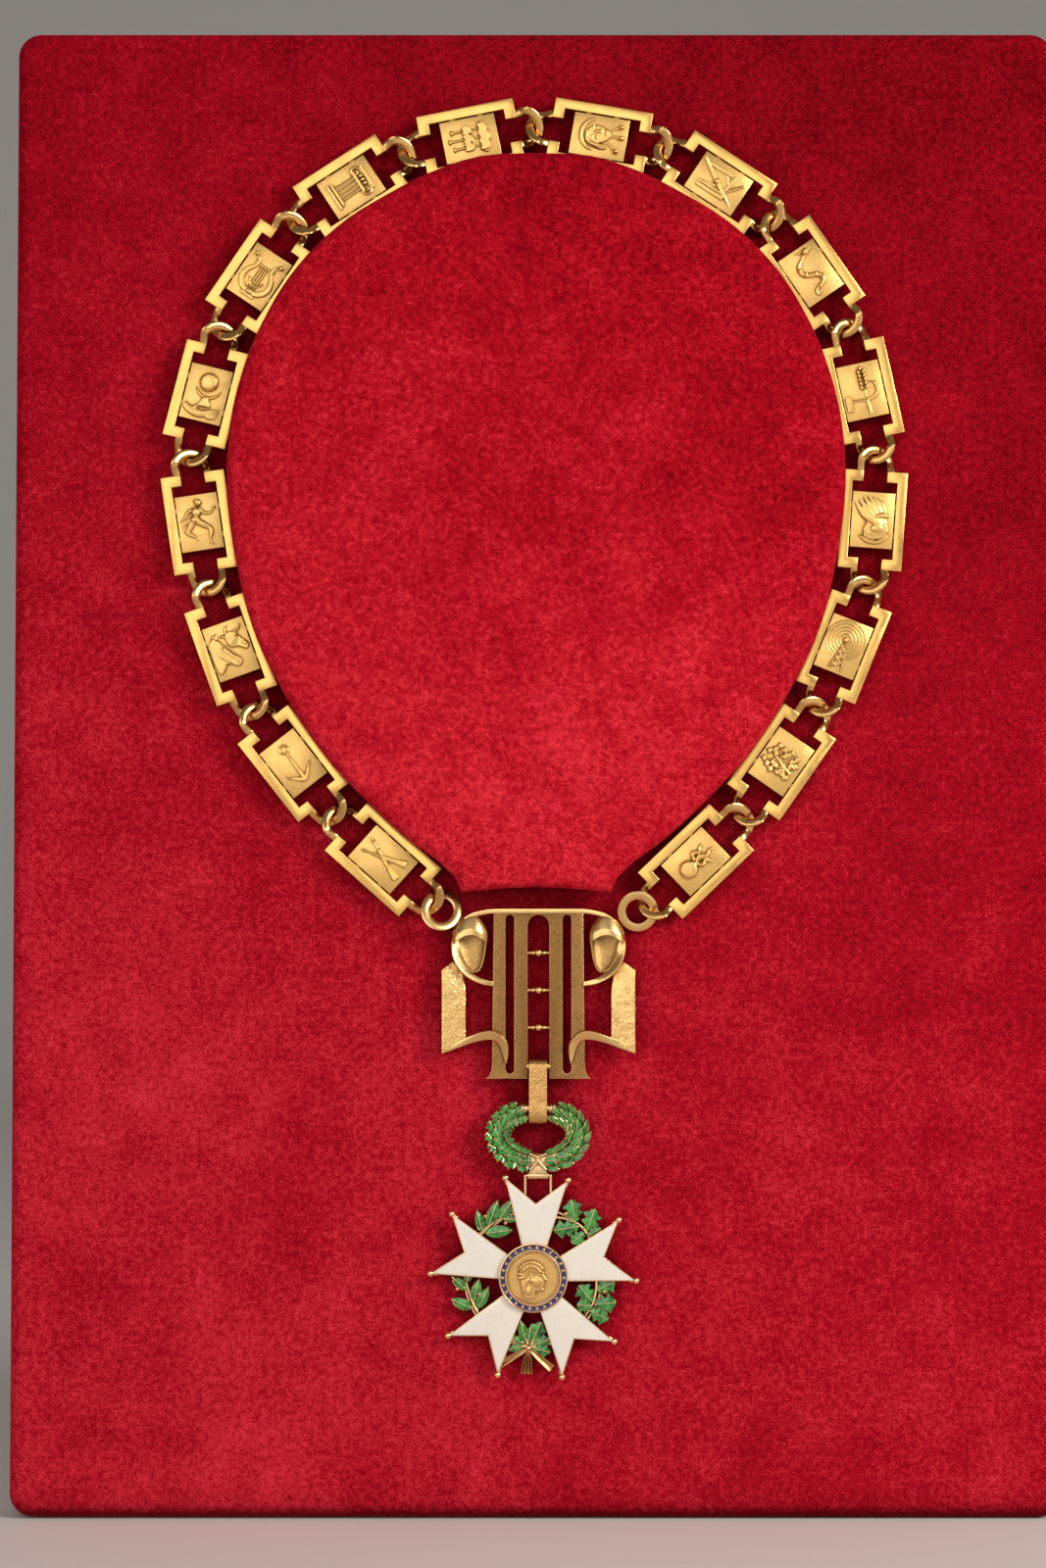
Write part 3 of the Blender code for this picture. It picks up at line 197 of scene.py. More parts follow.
bias = add_node(nap, "ShaderNodeMapping", {"Vector": spot}, {"Rotation": (0.0, 0.74, 0.0)}).outputs[0]
ribs = add_node(nap, "ShaderNodeTexWave", {"Vector": bias},
                {"Scale": 480.0, "Distortion": 0.5, "Detail": 1.0}, bands_direction="X").outputs["Fac"]
axes = add_node(nap, "ShaderNodeSeparateXYZ", {"Vector": spot})
# Painted light: the cloth is made lighter towards the bottom and towards the left.
painted_light_low = times(nap, ramp(nap, axes.outputs["Z"], 0.27, -0.12), 0.34)
painted_light_slope = maths(nap, "ADD", painted_light_low, times(nap, axes.outputs["X"], -0.42))
fall = maths(nap, "ADD", times(nap, painted_light_slope, nap_in.outputs["Painted Light Slope"]), 0.23)
for mask, strength in (
    (patches, 0.50), (clouds, 0.42), (flecks, 1.10), (tufts, 1.15), (ribs, nap_in.outputs["Weave"]),
):
    fall = maths(nap, "ADD", fall, times(nap, maths(nap, "SUBTRACT", mask, 0.5), strength))
cloth = mixed(nap, ramp(nap, fall, 0.0, 0.5), nap_in.outputs["Dark"], nap_in.outputs["Light"])
# Painted glints: where the pile runs highest, the colour goes on to a lighter, pinker one.
cloth = mixed(nap, ramp(nap, fall, 0.5, 1.0), cloth, nap_in.outputs["Painted Glint"])
# Painted shade: the cloth darkens towards near black in the nooks under the links and under the pad's lip.
painted_nook_shade = add_node(nap, "ShaderNodeAmbientOcclusion", values={"Distance": 0.016}, samples=4).outputs["AO"]
cloth = mixed(nap, times(nap, ramp(nap, painted_nook_shade, 0.85, 0.25), 0.8), cloth, (0.03, 0.0, 0.0006))
height = maths(nap, "ADD", times(nap, tufts, 0.6), flecks)
pile = add_node(nap, "ShaderNodeBump", {"Height": height}, {"Strength": 0.6, "Distance": 0.0007})
nap.links.new(cloth, nap_out.inputs["Color"])
nap.links.new(pile.outputs["Normal"], nap_out.inputs["Normal"])


def velvet(name, dark, light, painted_glint, weave, painted_light_slope):
    values = {"Dark": (*dark, 1), "Light": (*light, 1), "Painted Glint": (*painted_glint, 1), "Weave": weave, "Painted Light Slope": painted_light_slope}
    return from_group(name, nap, values, Roughness=0.95, Specular_IOR_Level=0.03, Sheen_Weight=0.30,
                      Sheen_Roughness=0.42, Sheen_Tint=(1.0, 0.02, 0.055, 1))


board_velvet = velvet("board velvet", dark=(0.115, 0.0004, 0.0024), light=(0.38, 0.0034, 0.0135),
                      painted_glint=(0.78, 0.036, 0.062), weave=0.03, painted_light_slope=1.0)
bpy.ops.mesh.primitive_cube_add(size=1, location=(0, -BOARD_DEPTH / 2, 0))
board = bpy.context.object
board.scale = (BOARD_WIDTH, BOARD_DEPTH, BOARD_HEIGHT)
bpy.ops.object.transform_apply(location=True, scale=True)


def runs_back(edge):
    """Whether an edge of the board runs from its front to its back."""
    start, end = (board.data.vertices[i].co.y for i in edge.vertices)
    return abs(start - end) > BOARD_DEPTH / 2


pick(board, "EDGE", runs_back)
bpy.ops.mesh.bevel(offset=BOARD_CORNER, segments=8, affect="EDGES")
close()
soften(board, BOARD_EDGE, 6, 40)
painted(board, board_velvet)
finish(board, "velvet_board", "display", ("display_board",), 60)

# The neck pad: a firm raised form covered in the same velvet, cut a little on the bias. Its rounded lip laps
# over the inner bars of the links, and its foot stands back from them.
GAP = 0.00035
LINK_MID, LINK_THICKNESS = -0.035252, 0.0024
PAD_HALF_WIDTH, PAD_TOP, PAD_DROP = 0.1184, 0.2361, 0.2838
PAD_HALF = (
    # the right half, as shares of the half width and of the drop from the top
    (0.000, 0.000), (0.180, 0.004), (0.347, 0.027), (0.486, 0.057), (0.610, 0.089), (0.717, 0.128),
    (0.800, 0.169), (0.866, 0.214), (0.928, 0.270), (0.980, 0.345), (1.000, 0.424), (0.991, 0.497),
    (0.950, 0.592), (0.900, 0.660), (0.835, 0.716), (0.752, 0.775), (0.655, 0.830), (0.545, 0.878),
    (0.425, 0.925), (0.312, 0.960), (0.262, 0.980), (0.240, 1.000), (0.100, 0.995), (0.000, 0.993),
)
PAD_CURVED = 20
LIP_LOW, LIP_SIDE = 0.0012, 0.0045
LIP_ROUNDING = ((0.0004, 0.0016), (0.0007, 0.0012), (0.0010, 0.0008), (0.0013, 0.00045), (0.0016, 0.0002))
FOOT_SETBACK = ((0.0014, 0.0008), (0.0028, 0.0001))


def along(points, share):
    """The place at a share of the way along a smooth curve through the points."""
    last = len(points) - 1
    i = min(int(share * last), last - 1)
    t = share * last - i
    a, b, c, d = (Vector(points[min(max(k, 0), last)]) for k in (i - 1, i, i + 1, i + 2))
    return (2 * b + (c - a) * t + (2 * a - 5 * b + 4 * c - d) * t * t + (3 * b - a - 3 * c + d) * t ** 3) / 2


def curve_through(points, steps):
    """Points of a smooth curve through the given ones, with this many steps between two of them."""
    count = (len(points) - 1) * steps
    return [tuple(along(points, i / count)) for i in range(count)] + [tuple(points[-1])]


def extrude(x, y, z):
    """Pushes what is selected out by this much."""
    bpy.ops.mesh.extrude_region_move(TRANSFORM_OT_translate={"value": (x, y, z)})


def seal(merge=0.0):
    """Merges points that lie this close together, turns all faces outwards and ends the editing."""
    bpy.ops.mesh.select_all(action="SELECT")
    if merge:
        bpy.ops.mesh.remove_doubles(threshold=merge)
    bpy.ops.mesh.normals_make_consistent(inside=False)
    close()


def blank(outline, low, high):
    """A flat plate: a filled ring shaped to the outline, then thickened from low to high along Z."""
    bpy.ops.mesh.primitive_circle_add(vertices=len(outline), radius=1, fill_type="NGON")
    plate = bpy.context.object
    for vertex, (x, y) in zip(plate.data.vertices, outline):
        vertex.co = (x, y, low)
    edit("FACE")
    extrude(0, 0, high - low)
    seal()
    return plate


def move(obj, matrix):
    """Puts the matrix into the object's mesh."""
    obj.matrix_world = matrix @ obj.matrix_world
    only(obj)
    bpy.ops.object.transform_apply(location=True, rotation=True, scale=True)
    return obj


# The pad's velvet is the board's velvet painted lighter, with a steeper painted light slope: painted light on
# the raised pad.
pad_lit_velvet = velvet("pad velvet painted lighter", dark=(0.14, 0.0004, 0.0026), light=(0.46, 0.0040, 0.0155),
                    painted_glint=(0.88, 0.046, 0.070), weave=0.30, painted_light_slope=1.4)
side = [(PAD_HALF_WIDTH * x, PAD_TOP - PAD_DROP * z) for x, z in PAD_HALF]
side = curve_through(side[:PAD_CURVED], 3) + side[PAD_CURVED:]
links_front = LINK_THICKNESS / 2 + GAP - LINK_MID
pad = blank(side + [(-x, z) for x, z in reversed(side[1:-1])], links_front + LIP_LOW,
            links_front + LIP_SIDE)
pick(pad, "FACE", lambda face: face.normal.z > 0.9)
for inset, rise in LIP_ROUNDING:
    bpy.ops.mesh.inset(thickness=inset, depth=rise)
close()
pick(pad, "FACE", lambda face: face.normal.z < -0.9)
foot = links_front + LIP_LOW
for inset, rise in FOOT_SETBACK:
    bpy.ops.mesh.inset(thickness=inset, depth=rise)
    foot -= rise
extrude(0, 0, BOARD_DEPTH + GAP - foot)
close()
move(pad, Matrix.Rotation(math.pi / 2, 4, "X"))
painted(pad, pad_lit_velvet)
finish(pad, "velvet_neck_pad", "display", ("neck_pad",), 75)

# The links: each is a gold frame sawn from sheet in two halves. Wire loops grow out of their end walls,
# twisted so that neighbours pass through each other. A cast plaque with a trade's or an art's emblem is held
# between the halves by nubs.
LINK_LENGTH, LINK_WIDTH = 0.0380, 0.0247
BAR_WIDTH, END_WALL = 0.0037, 0.0042
LOOP_RADIUS, LOOP_NECK, LOOP_PLAY, LOOP_TILT = 0.00595, 0.00230, 0.0006, 0.52
LOOP_ROOT = END_WALL * 0.7
WIRE_WIDTH, WIRE_THICKNESS = 0.0033, 0.0019
PLAQUE_LENGTH, PLAQUE_THICKNESS, PLAQUE_SLIT = 0.0215, 0.0016, 0.0005
NUB_WIDTH, NUB_SPACING, NUB_SHARE = 0.0018, 0.0110, 0.7
LOOP_CENTRE = LINK_LENGTH / 2 + LOOP_NECK
LOOP_SPACING = 2 * LOOP_RADIUS - WIRE_WIDTH - LOOP_PLAY
PITCH = 2 * LOOP_CENTRE + LOOP_SPACING
CAVITY = LINK_WIDTH / 2 - BAR_WIDTH
PLAQUE_WIDTH = 2 * (CAVITY - PLAQUE_SLIT)
TOP_JOINT = (-0.0005, 0.2480)

# Worn metal with painted shade: fine casting grain, faint polishing lines, bright rubbed places, and painted
# shade where two surfaces meet, which also stands for patina there. Hammered pieces also have dents.
wear_and_shade, wear_in, wear_out = new_group(
    "worn metal and painted shade",
    (("Metal", "Color", (0.9, 0.6, 0.3, 1)), ("Hollow", "Color", (0.2, 0.1, 0.03, 1)),
     ("Depth", "Float", 0.6), ("Grain", "Float", 0.3), ("Grain Scale", "Float", 2500.0),
     ("Rough", "Float", 0.3), ("Dents", "Float", 0.0)),
    (("Color", "Color"), ("Roughness", "Float"), ("Normal", "Vector")),
)
spot = add_node(wear_and_shade, "ShaderNodeTexCoord").outputs["Object"]
grain = add_node(wear_and_shade, "ShaderNodeTexNoise", {"Vector": spot, "Scale": wear_in.outputs["Grain Scale"]},
                 {"Detail": 2.0}).outputs[0]
brushed = add_node(wear_and_shade, "ShaderNodeMapping", {"Vector": spot},
                   {"Rotation": (0.0, 0.6, 0.0), "Scale": (220.0, 220.0, 2600.0)}).outputs[0]
lines = noise(wear_and_shade, brushed, 1.0)
tone = noise(wear_and_shade, spot, 160.0, 3.0)
# Painted shade: corners and hollows are darkened towards the Hollow colour by Depth. This also stands for
# patina there.
corners = add_node(wear_and_shade, "ShaderNodeAmbientOcclusion", values={"Distance": 0.0016}, samples=6,
                   only_local=True).outputs["AO"]
dimples = add_node(wear_and_shade, "ShaderNodeTexVoronoi", {"Vector": spot}, {"Scale": 330.0}, feature="SMOOTH_F1")
blows = maths(wear_and_shade, "ADD", dimples.outputs["Distance"], noise(wear_and_shade, spot, 900.0))
hollow = times(wear_and_shade, ramp(wear_and_shade, corners, 0.92, 0.38), wear_in.outputs["Depth"])
pits = times(wear_and_shade, ramp(wear_and_shade, blows, 1.0, 0.72), times(wear_and_shade, wear_in.outputs["Dents"], 0.5))
specks = times(wear_and_shade, ramp(wear_and_shade, grain, 0.52, 0.70), times(wear_and_shade, wear_in.outputs["Grain"], 0.45))
stain = times(wear_and_shade, ramp(wear_and_shade, tone, 0.56, 0.80), 0.22)
hollow = maths(wear_and_shade, "MAXIMUM", maths(wear_and_shade, "MAXIMUM", hollow, pits), specks)
metal = mixed(wear_and_shade, maths(wear_and_shade, "MAXIMUM", hollow, stain), wear_in.outputs["Metal"],
              wear_in.outputs["Hollow"])
polish = maths(wear_and_shade, "ADD", wear_in.outputs["Rough"], times(wear_and_shade, maths(wear_and_shade, "SUBTRACT", tone, 0.5), 0.22))
polish = maths(wear_and_shade, "ADD", polish, times(wear_and_shade, hollow, 0.25))
dented = add_node(wear_and_shade, "ShaderNodeBump", {"Height": blows, "Strength": wear_in.outputs["Dents"]},
                  {"Distance": 0.0007})
marks = maths(wear_and_shade, "ADD", grain, times(wear_and_shade, lines, 0.22))
relief = add_node(wear_and_shade, "ShaderNodeBump", {"Height": marks, "Strength": wear_in.outputs["Grain"],
                                           "Normal": dented.outputs["Normal"]}, {"Distance": 0.00012})
for value, title in ((metal, "Color"), (polish, "Roughness"), (relief.outputs["Normal"], "Normal")):
    wear_and_shade.links.new(value, wear_out.inputs[title])


def metal_finish(name, metal, hollow, rough, grain, scale, depth, dents=0.0):
    values = {"Metal": (*metal, 1), "Hollow": (*hollow, 1), "Depth": depth, "Grain": grain,
              "Grain Scale": scale, "Rough": rough, "Dents": dents}
    return from_group(name, wear_and_shade, values, Metallic=1.0)


link_gold = metal_finish("satin link gold", (0.95, 0.575, 0.17), (0.26, 0.12, 0.022),
                         rough=0.30, grain=0.22, scale=3200.0, depth=0.8)
plaque_gold = metal_finish("cast plaque gold", (0.93, 0.575, 0.185), (0.16, 0.065, 0.012),
                           rough=0.34, grain=0.62, scale=2000.0, depth=1.0)
wire_gold = metal_finish("rubbed wire gold", (0.76, 0.45, 0.155), (0.12, 0.05, 0.012),
                         rough=0.20, grain=0.25, scale=2400.0, depth=1.0)


def join(name, *objs):
    only(*objs)
    bpy.ops.object.join()
    objs[0].name = name
    return objs[0]


def copy_of(obj, matrix=Matrix()):
    only(obj)
    bpy.ops.object.duplicate()
    return move(bpy.context.object, matrix)


def rectangle(left, low, right, high):
    """Its corners, counterclockwise."""
    return [(left, low), (right, low), (right, high), (left, high)]


def ring_of_wire(width, thickness, fullness=2.6, sides=14):
    """The outline of a flattened wire, squarer than an ellipse."""
    points = []
    for i in range(sides):
        turn = 2 * math.pi * i / sides
        points.append(tuple(math.copysign(abs(share) ** (2 / fullness), share) * size / 2
                            for share, size in ((math.cos(turn), width), (math.sin(turn), thickness))))
    return points


def wire_loop():
    """One loop: a straight arm out of the wall, a half turn, and back, then twisted by tilting it across."""
    section = ring_of_wire(WIRE_WIDTH, WIRE_THICKNESS)
    bpy.ops.mesh.primitive_circle_add(vertices=len(section), radius=1, fill_type="NGON")
    loop = bpy.context.object
    for vertex, (across, up) in zip(loop.data.vertices, section):
        vertex.co = (LINK_LENGTH / 2 - LOOP_ROOT, across - LOOP_RADIUS, up)
    edit("FACE")
    for step in (LOOP_ROOT, LOOP_NECK):
        extrude(step, 0, 0)
    bpy.ops.mesh.spin(steps=18, angle=-math.pi, center=(LOOP_CENTRE, 0, 0), axis=(0, 0, 1))
    for step in (LOOP_NECK, LOOP_ROOT):
        extrude(-step, 0, 0)
    seal(0.000001)
    twist = LOOP_CENTRE + LOOP_RADIUS * 0.4 - LINK_LENGTH / 2
    for vertex in loop.data.vertices:
        share = min(max((vertex.co.x - LINK_LENGTH / 2) / twist, 0), 1)
        vertex.co.z += LOOP_TILT * share * share * (3 - 2 * share) * vertex.co.y
    return painted(loop, wire_gold)


def frame_half():
    """A bar with its two end walls, which end beside the loops."""
    half, inner = LINK_LENGTH / 2, LINK_LENGTH / 2 - END_WALL
    low, high = LOOP_RADIUS - WIRE_WIDTH * 0.4, LINK_WIDTH / 2
    outline = [(-half, low), (-inner, low), (-inner, CAVITY), (inner, CAVITY), (inner, low), (half, low)]
    outline += [(half, high), (-half, high)]
    bar = blank(outline, -LINK_THICKNESS / 2, LINK_THICKNESS / 2)
    soften(bar, 0.00022)
    return painted(bar, link_gold)


def plaque_plate():
    x, y, z = PLAQUE_LENGTH / 2, PLAQUE_WIDTH / 2, PLAQUE_THICKNESS / 2
    plate = blank(rectangle(-x, -y, x, y), -z, z)
    soften(plate, 0.00016)
    nubs = []
    for side in (-1, 1):
        for middle in (-NUB_SPACING / 2, NUB_SPACING / 2):
            outline = rectangle(middle - NUB_WIDTH / 2, side * (y - GAP),
                                middle + NUB_WIDTH / 2, side * (CAVITY + GAP))
            nubs.append(blank(outline[::side], -z * NUB_SHARE, z * NUB_SHARE))
    return painted(join("plaque plate", plate, *nubs), plaque_gold)


half = join("link half", frame_half(), wire_loop())
link_frame = join("link frame", half, copy_of(half, Matrix.Rotation(math.pi, 4, "Z")))
plaque_blank = plaque_plate()

# The emblems: low relief modelled in wax and cast with the plaque. They are drawn in sixteenths of the
# plaque's width, X to the emblem's right and Y to its top, from tapering strokes, mounds and flat slabs.
UNIT = PLAQUE_WIDTH / 16
FIELD = PLAQUE_THICKNESS / 2
ROOT = -0.3
RELIEF_TOP, SOFT_RELIEF_TOP = 1.6, 2.4


def stroke(points, widths, height=1.0, lift=0.0):
    """A raised stroke through the points, with its full width at each and a height as a share of it."""
    bpy.ops.curve.primitive_bezier_curve_add()
    line = bpy.context.object
    spline = line.data.splines[0]
    spline.bezier_points.add(len(points) - 2)
    if not hasattr(widths, "__len__"):
        widths = [widths] * len(points)
    for knot, (x, y), width in zip(spline.bezier_points, points, widths):
        knot.co = (x, y, 0)
        knot.radius = width / 2
        knot.handle_left_type = knot.handle_right_type = "AUTO"
    line.data.dimensions = "3D"
    line.data.bevel_depth = 1.0
    line.data.bevel_resolution = 2
    line.data.resolution_u = 5
    line.data.use_fill_caps = True
    bpy.ops.object.convert(target="MESH")
    line = bpy.context.object
    for vertex in line.data.vertices:
        vertex.co.z = vertex.co.z * height + lift
    return line


def mound(x, y, wide, tall, turn=0.0, height=0.5, lift=0.0):
    """A rounded lump. Its height is a share of its narrower width."""
    bpy.ops.mesh.primitive_uv_sphere_add(segments=14, ring_count=8, radius=1)
    size = Matrix.Diagonal((wide / 2, tall / 2, min(wide, tall) * height, 1))
    place = Matrix.Translation((x, y, lift)) @ Matrix.Rotation(math.radians(turn), 4, "Z")
    return move(bpy.context.object, place @ size)


def slab(outline, height, edge=0.12):
    plate = blank(outline, ROOT, height)
    soften(plate, edge, 2, 40)
    return plate


def pillow(points, height, edge):
    """A rounded shape raised inside a smooth closed outline."""
    ring = list(points[-1:]) + list(points) + list(points[:2])
    plate = blank(curve_through(ring, 4)[4:-5], ROOT, height)
    soften(plate, edge, 4, 50)
    return plate


def relief_of(parts, root, ceiling, cell):
    """One relief: cut off under its field, run into a soft surface where cells are given, and rounded off."""
    piece = join("relief", *parts)
    for vertex in piece.data.vertices:
        vertex.co.z = max(vertex.co.z, root)
    if cell:
        modify(piece, "REMESH", mode="VOXEL", voxel_size=cell)
        modify(piece, "SMOOTH", factor=0.5, iterations=3)
        modify(piece, "DECIMATE", ratio=0.55)
    for vertex in piece.data.vertices:
        vertex.co.z = ceiling * math.tanh(vertex.co.z / ceiling)
    return piece


def ray(degrees, length=1.0):
    """A flat vector of this length that points this many degrees from X."""
    return Vector((math.cos(math.radians(degrees)), math.sin(math.radians(degrees)))) * length


def arc(middle, radius, start, sweep, count=9):
    """Points along an arc, both ends included."""
    turns = [math.radians(start + sweep * i / (count - 1)) for i in range(count)]
    return [(middle[0] + radius * math.cos(turn), middle[1] + radius * math.sin(turn)) for turn in turns]


def between(start, end, share):
    """The point at this share of the way from the start to the end."""
    return tuple(a * (1 - share) + b * share for a, b in zip(start, end))


def both(points):
    """The points, and their mirror image across Y."""
    return points, [(-x, y) for x, y in points]


def rifles():
    parts = []
    for muzzle, lock, heel in (((-2.7, 8.7), (1.5, -2.0), (4.2, -7.9)),
                               ((3.1, 8.6), (-0.6, -2.2), (-2.3, -8.5))):
        near = between(muzzle, lock, 0.45)
        parts += [stroke([muzzle, lock], [0.95, 1.2]), stroke([near, lock], [1.4, 1.8], 1.1)]
        wrist = between(lock, heel, 0.28)
        parts.append(stroke([lock, wrist, heel], [2.0, 1.8, 3.2], 0.8))
        parts.append(stroke([(lock[0] - 0.9, lock[1] + 0.4), (wrist[0] - 1.3, wrist[1] + 0.3), wrist], 0.5))
        for share in (0.12, 0.45):
            parts.append(mound(*between(muzzle, lock, share), 1.6, 0.8, 0, 1.2))
    return parts + [mound(0.3, 1.2, 2.0, 1.4, 30, 1.0)]


def anchor():
    parts = [stroke(arc((0.2, 6.2), 1.6, 0, 352, 13), 0.95, 1.1),
             stroke([(0.2, 4.4), (0.1, 0), (0, -7.2)], [1.1, 1.4, 1.9])]
    for arm in both([(0, -7.6), (2.6, -5.6), (5.4, -2.7)]):
        parts.append(stroke(arm, [2.0, 1.6, 0.5]))
    for fluke in both([(2.8, -3.9), (4.3, -4.2), (5.6, -2.5)]):
        parts.append(stroke(fluke, [0.3, 1.1, 0.4]))
    return parts


def livestock():
    parts = [pillow([(-0.6, 5.4), (1.6, 6.6), (4.0, 5.4), (5.4, 3.0), (7.0, 0.8), (7.2, -1.0), (5.8, -1.8),
                     (4.0, -0.6), (2.2, 0.4), (1.0, 0.2), (-0.4, 2.0)], 1.0, 0.7),
             pillow([(-6.4, 5.0), (-3.8, 4.8), (-2.0, 2.0), (0.2, -1.4), (2.6, -4.4), (2.4, -6.4),
                     (0.4, -7.0), (-1.6, -5.4), (-3.2, -5.2), (-4.2, -6.4), (-6.4, -8.2), (-7.4, -6.0),
                     (-7.6, -0.4), (-7.4, 3.4)], 1.5, 0.9),
             stroke([(0.2, 6.0), (0.2, 7.8), (1.6, 9.0)], [1.4, 1.1, 0.4], 1.3),
             stroke([(3.2, 6.0), (5.2, 6.4), (6.6, 8.2)], [1.4, 1.1, 0.4], 1.3),
             stroke([(-0.4, 4.4), (-1.8, 5.6), (-2.8, 5.4)], [1.0, 1.4, 0.4], 1.2),
             stroke([(4.2, 3.8), (2.6, 2.2), (0.6, 1.2)], [0.6, 1.3, 0.8], 1.0, 0.8),
             stroke([(4.8, 1.4), (6.4, 0.2), (7.0, -0.6)], [1.2, 1.7, 0.8], 0.8, 0.7),
             mound(3.6, 4.0, 1.2, 0.8, -30, 0.9, 1.0)]
    for root in ((-5.6, 4.4), (-4.2, 4.6)):
        parts.append(stroke([root, (root[0] + 0.2, root[1] + 1.7), (root[0] + 1.0, root[1] + 2.8)],
                            [1.5, 1.3, 0.4], 1.3))
    parts += [stroke([(-3.4, 2.2), (-1.6, -0.8), (0.6, -3.6), (1.6, -5.6)], [1.4, 1.8, 1.6, 1.2], 0.9, 1.1),
              stroke([(-5.0, 1.8), (-4.0, -1.4), (-2.4, -3.6), (-0.4, -5.4)], [1.0, 2.4, 1.8, 1.0],
                     0.7, 1.2),
              mound(-2.6, 0.9, 1.3, 0.8, -50, 1.0, 1.7), stroke([(0.8, -5.6), (1.8, -5.4)], 0.6, 1.0, 1.6)]
    for i in range(7):
        x, y = -6.0 - 0.12 * i, 4.6 - 1.7 * i
        parts.append(stroke([(x + 1.5, y + 0.8), (x + 0.2, y + 0.2), (x - 0.3, y - 1.6)], [1.0, 1.2, 0.3],
                            1.0, 1.0))
    return parts


def athlete():
    return [mound(0.6, 7.4, 2.5, 2.9, -15, 0.7), mound(-0.2, 8.2, 2.1, 1.6, 20, 0.9, 0.4),
            mound(1.7, 7.3, 0.9, 0.8, 0, 1.0, 0.5),
            mound(-0.6, 3.9, 3.6, 4.4, 14, 0.7), mound(-1.6, 1.2, 3.2, 3.2, 0, 0.75),
            stroke([(0.7, 5.2), (2.4, 3.4), (4.4, 3.0), (6.4, 4.6)], [2.0, 1.7, 1.3, 0.8], 1.0),
            stroke([(-1.6, 5.2), (-3.8, 4.2), (-5.2, 2.4), (-7.0, 0.9)], [2.0, 1.7, 1.3, 0.8], 1.0),
            stroke([(-1.0, 0.9), (1.4, -0.9), (3.8, -2.4)], [3.0, 2.9, 2.0], 0.9),
            stroke([(3.8, -2.2), (4.1, -4.4), (3.4, -6.6), (3.2, -7.8)], [2.0, 2.0, 1.2, 0.9], 0.95),
            stroke([(3.0, -8.0), (4.8, -9.0)], [1.1, 0.6], 1.0),
            stroke([(-2.2, 0.6), (-3.6, -1.4), (-5.2, -3.4)], [3.0, 2.7, 2.0], 0.85),
            stroke([(-5.2, -3.4), (-3.4, -4.6), (-1.7, -5.6)], [1.9, 1.8, 1.1], 0.9),
            stroke([(-1.7, -5.4), (-1.4, -7.0)], [1.1, 0.6], 1.0),
            stroke([(-2.6, 2.2), (-4.6, 0.6), (-6.4, -1.6), (-6.0, -3.6)], [1.4, 1.2, 0.9, 0.3], 0.8),
            mound(6.5, 4.9, 1.2, 1.1, 0, 1.0)]


def globe():
    parts = [mound(0.1, 4.6, 7.6, 7.6, 0, 0.48),
             stroke(arc((0.6, 3.9), 5.2, 200, 140), [0.4, 1.0, 1.3, 1.5, 1.5, 1.5, 1.3, 1.0, 0.4], 1.2),
             slab([(-2.6, -4.9), (2.9, -4.9), (1.1, -1.2), (-0.3, -1.2)], 1.3, 0.4),
             stroke([(-7.2, -5.2), (-4.4, -7.0), (-1.0, -7.7), (1.8, -7.2)], [2.6, 3.4, 3.6, 3.2], 0.7),
             stroke([(-3.4, -6.0), (-1.6, -4.7), (0.8, -4.7)], [1.9, 1.6, 1.1], 1.1)]
    for i, y in enumerate((-5.6, -6.6, -7.6, -8.4)):
        parts.append(stroke([(0.8, -6.9 - 0.2 * i), (3.4, y - 0.3), (6.6 - 0.3 * i, y + 0.3)],
                            [1.5, 1.2, 0.8], 1.1, 0.2))
    return parts + [stroke(arc((0.1, 4.6), 2.6, a, 120, 7), 0.4, 1.0, 1.35) for a in (30, 210)]


def lyre():
    parts = [stroke([(-4.6, 4.3), (0, 4.0), (4.6, 4.3)], 1.1), stroke([(-2.8, -8.2), (2.8, -8.2)], 1.5),
             mound(0, -6.8, 3.6, 2.2, 0, 0.9), stroke(arc((0, -1.4), 2.9, 185, 170), 1.0)]
    for arm in both([(5.4, 7.0), (3.6, 5.8), (3.2, 3.6), (5.2, 0.2), (5.7, -2.8), (3.8, -5.9), (0, -7.1)]):
        parts.append(stroke(arm, [0.9, 1.4, 1.4, 2.1, 2.4, 2.4, 2.2], 1.0))
    parts += [mound(x, 7.2, 2.1, 2.0, 0, 0.9) for x in (5.4, -5.4)]
    return parts + [stroke([(x, 4.0), (x, -5.8)], 0.34, 2.4) for x in (-1.5, -0.5, 0.5, 1.5)]


def capital():
    parts = [slab(rectangle(-5.4, -8.2, 5.4, -7), 0.8),
             slab(rectangle(-4.7, -6.6, 4.7, -5.6), 1.0),
             slab([(-3.3, -5.5), (3.3, -5.5), (3.0, 3.0), (-3.0, 3.0)], 0.5),
             slab(rectangle(-4.3, 2.8, 4.3, 3.9), 1.2),
             slab(rectangle(-4.9, 6.6, 4.9, 7.8), 1.3)]
    parts += [stroke([(x, -5.4), (x * 0.95, 2.9)], 1.45, 1.5) for x in (-2.5, -0.85, 0.85, 2.5)]
    for curl in both([(0.6, 6.3), (4.4, 6.2), (5.7, 4.6), (4.4, 2.9), (2.9, 3.9), (3.9, 5.1), (4.5, 4.3)]):
        parts.append(stroke(curl, [1.1, 1.3, 1.3, 1.2, 1.0, 0.9, 0.8], 1.4))
    return parts + [mound(x, 5.2, 1.6, 2.2, 0, 1.0, 0.3) for x in (-1.6, 0, 1.6)]


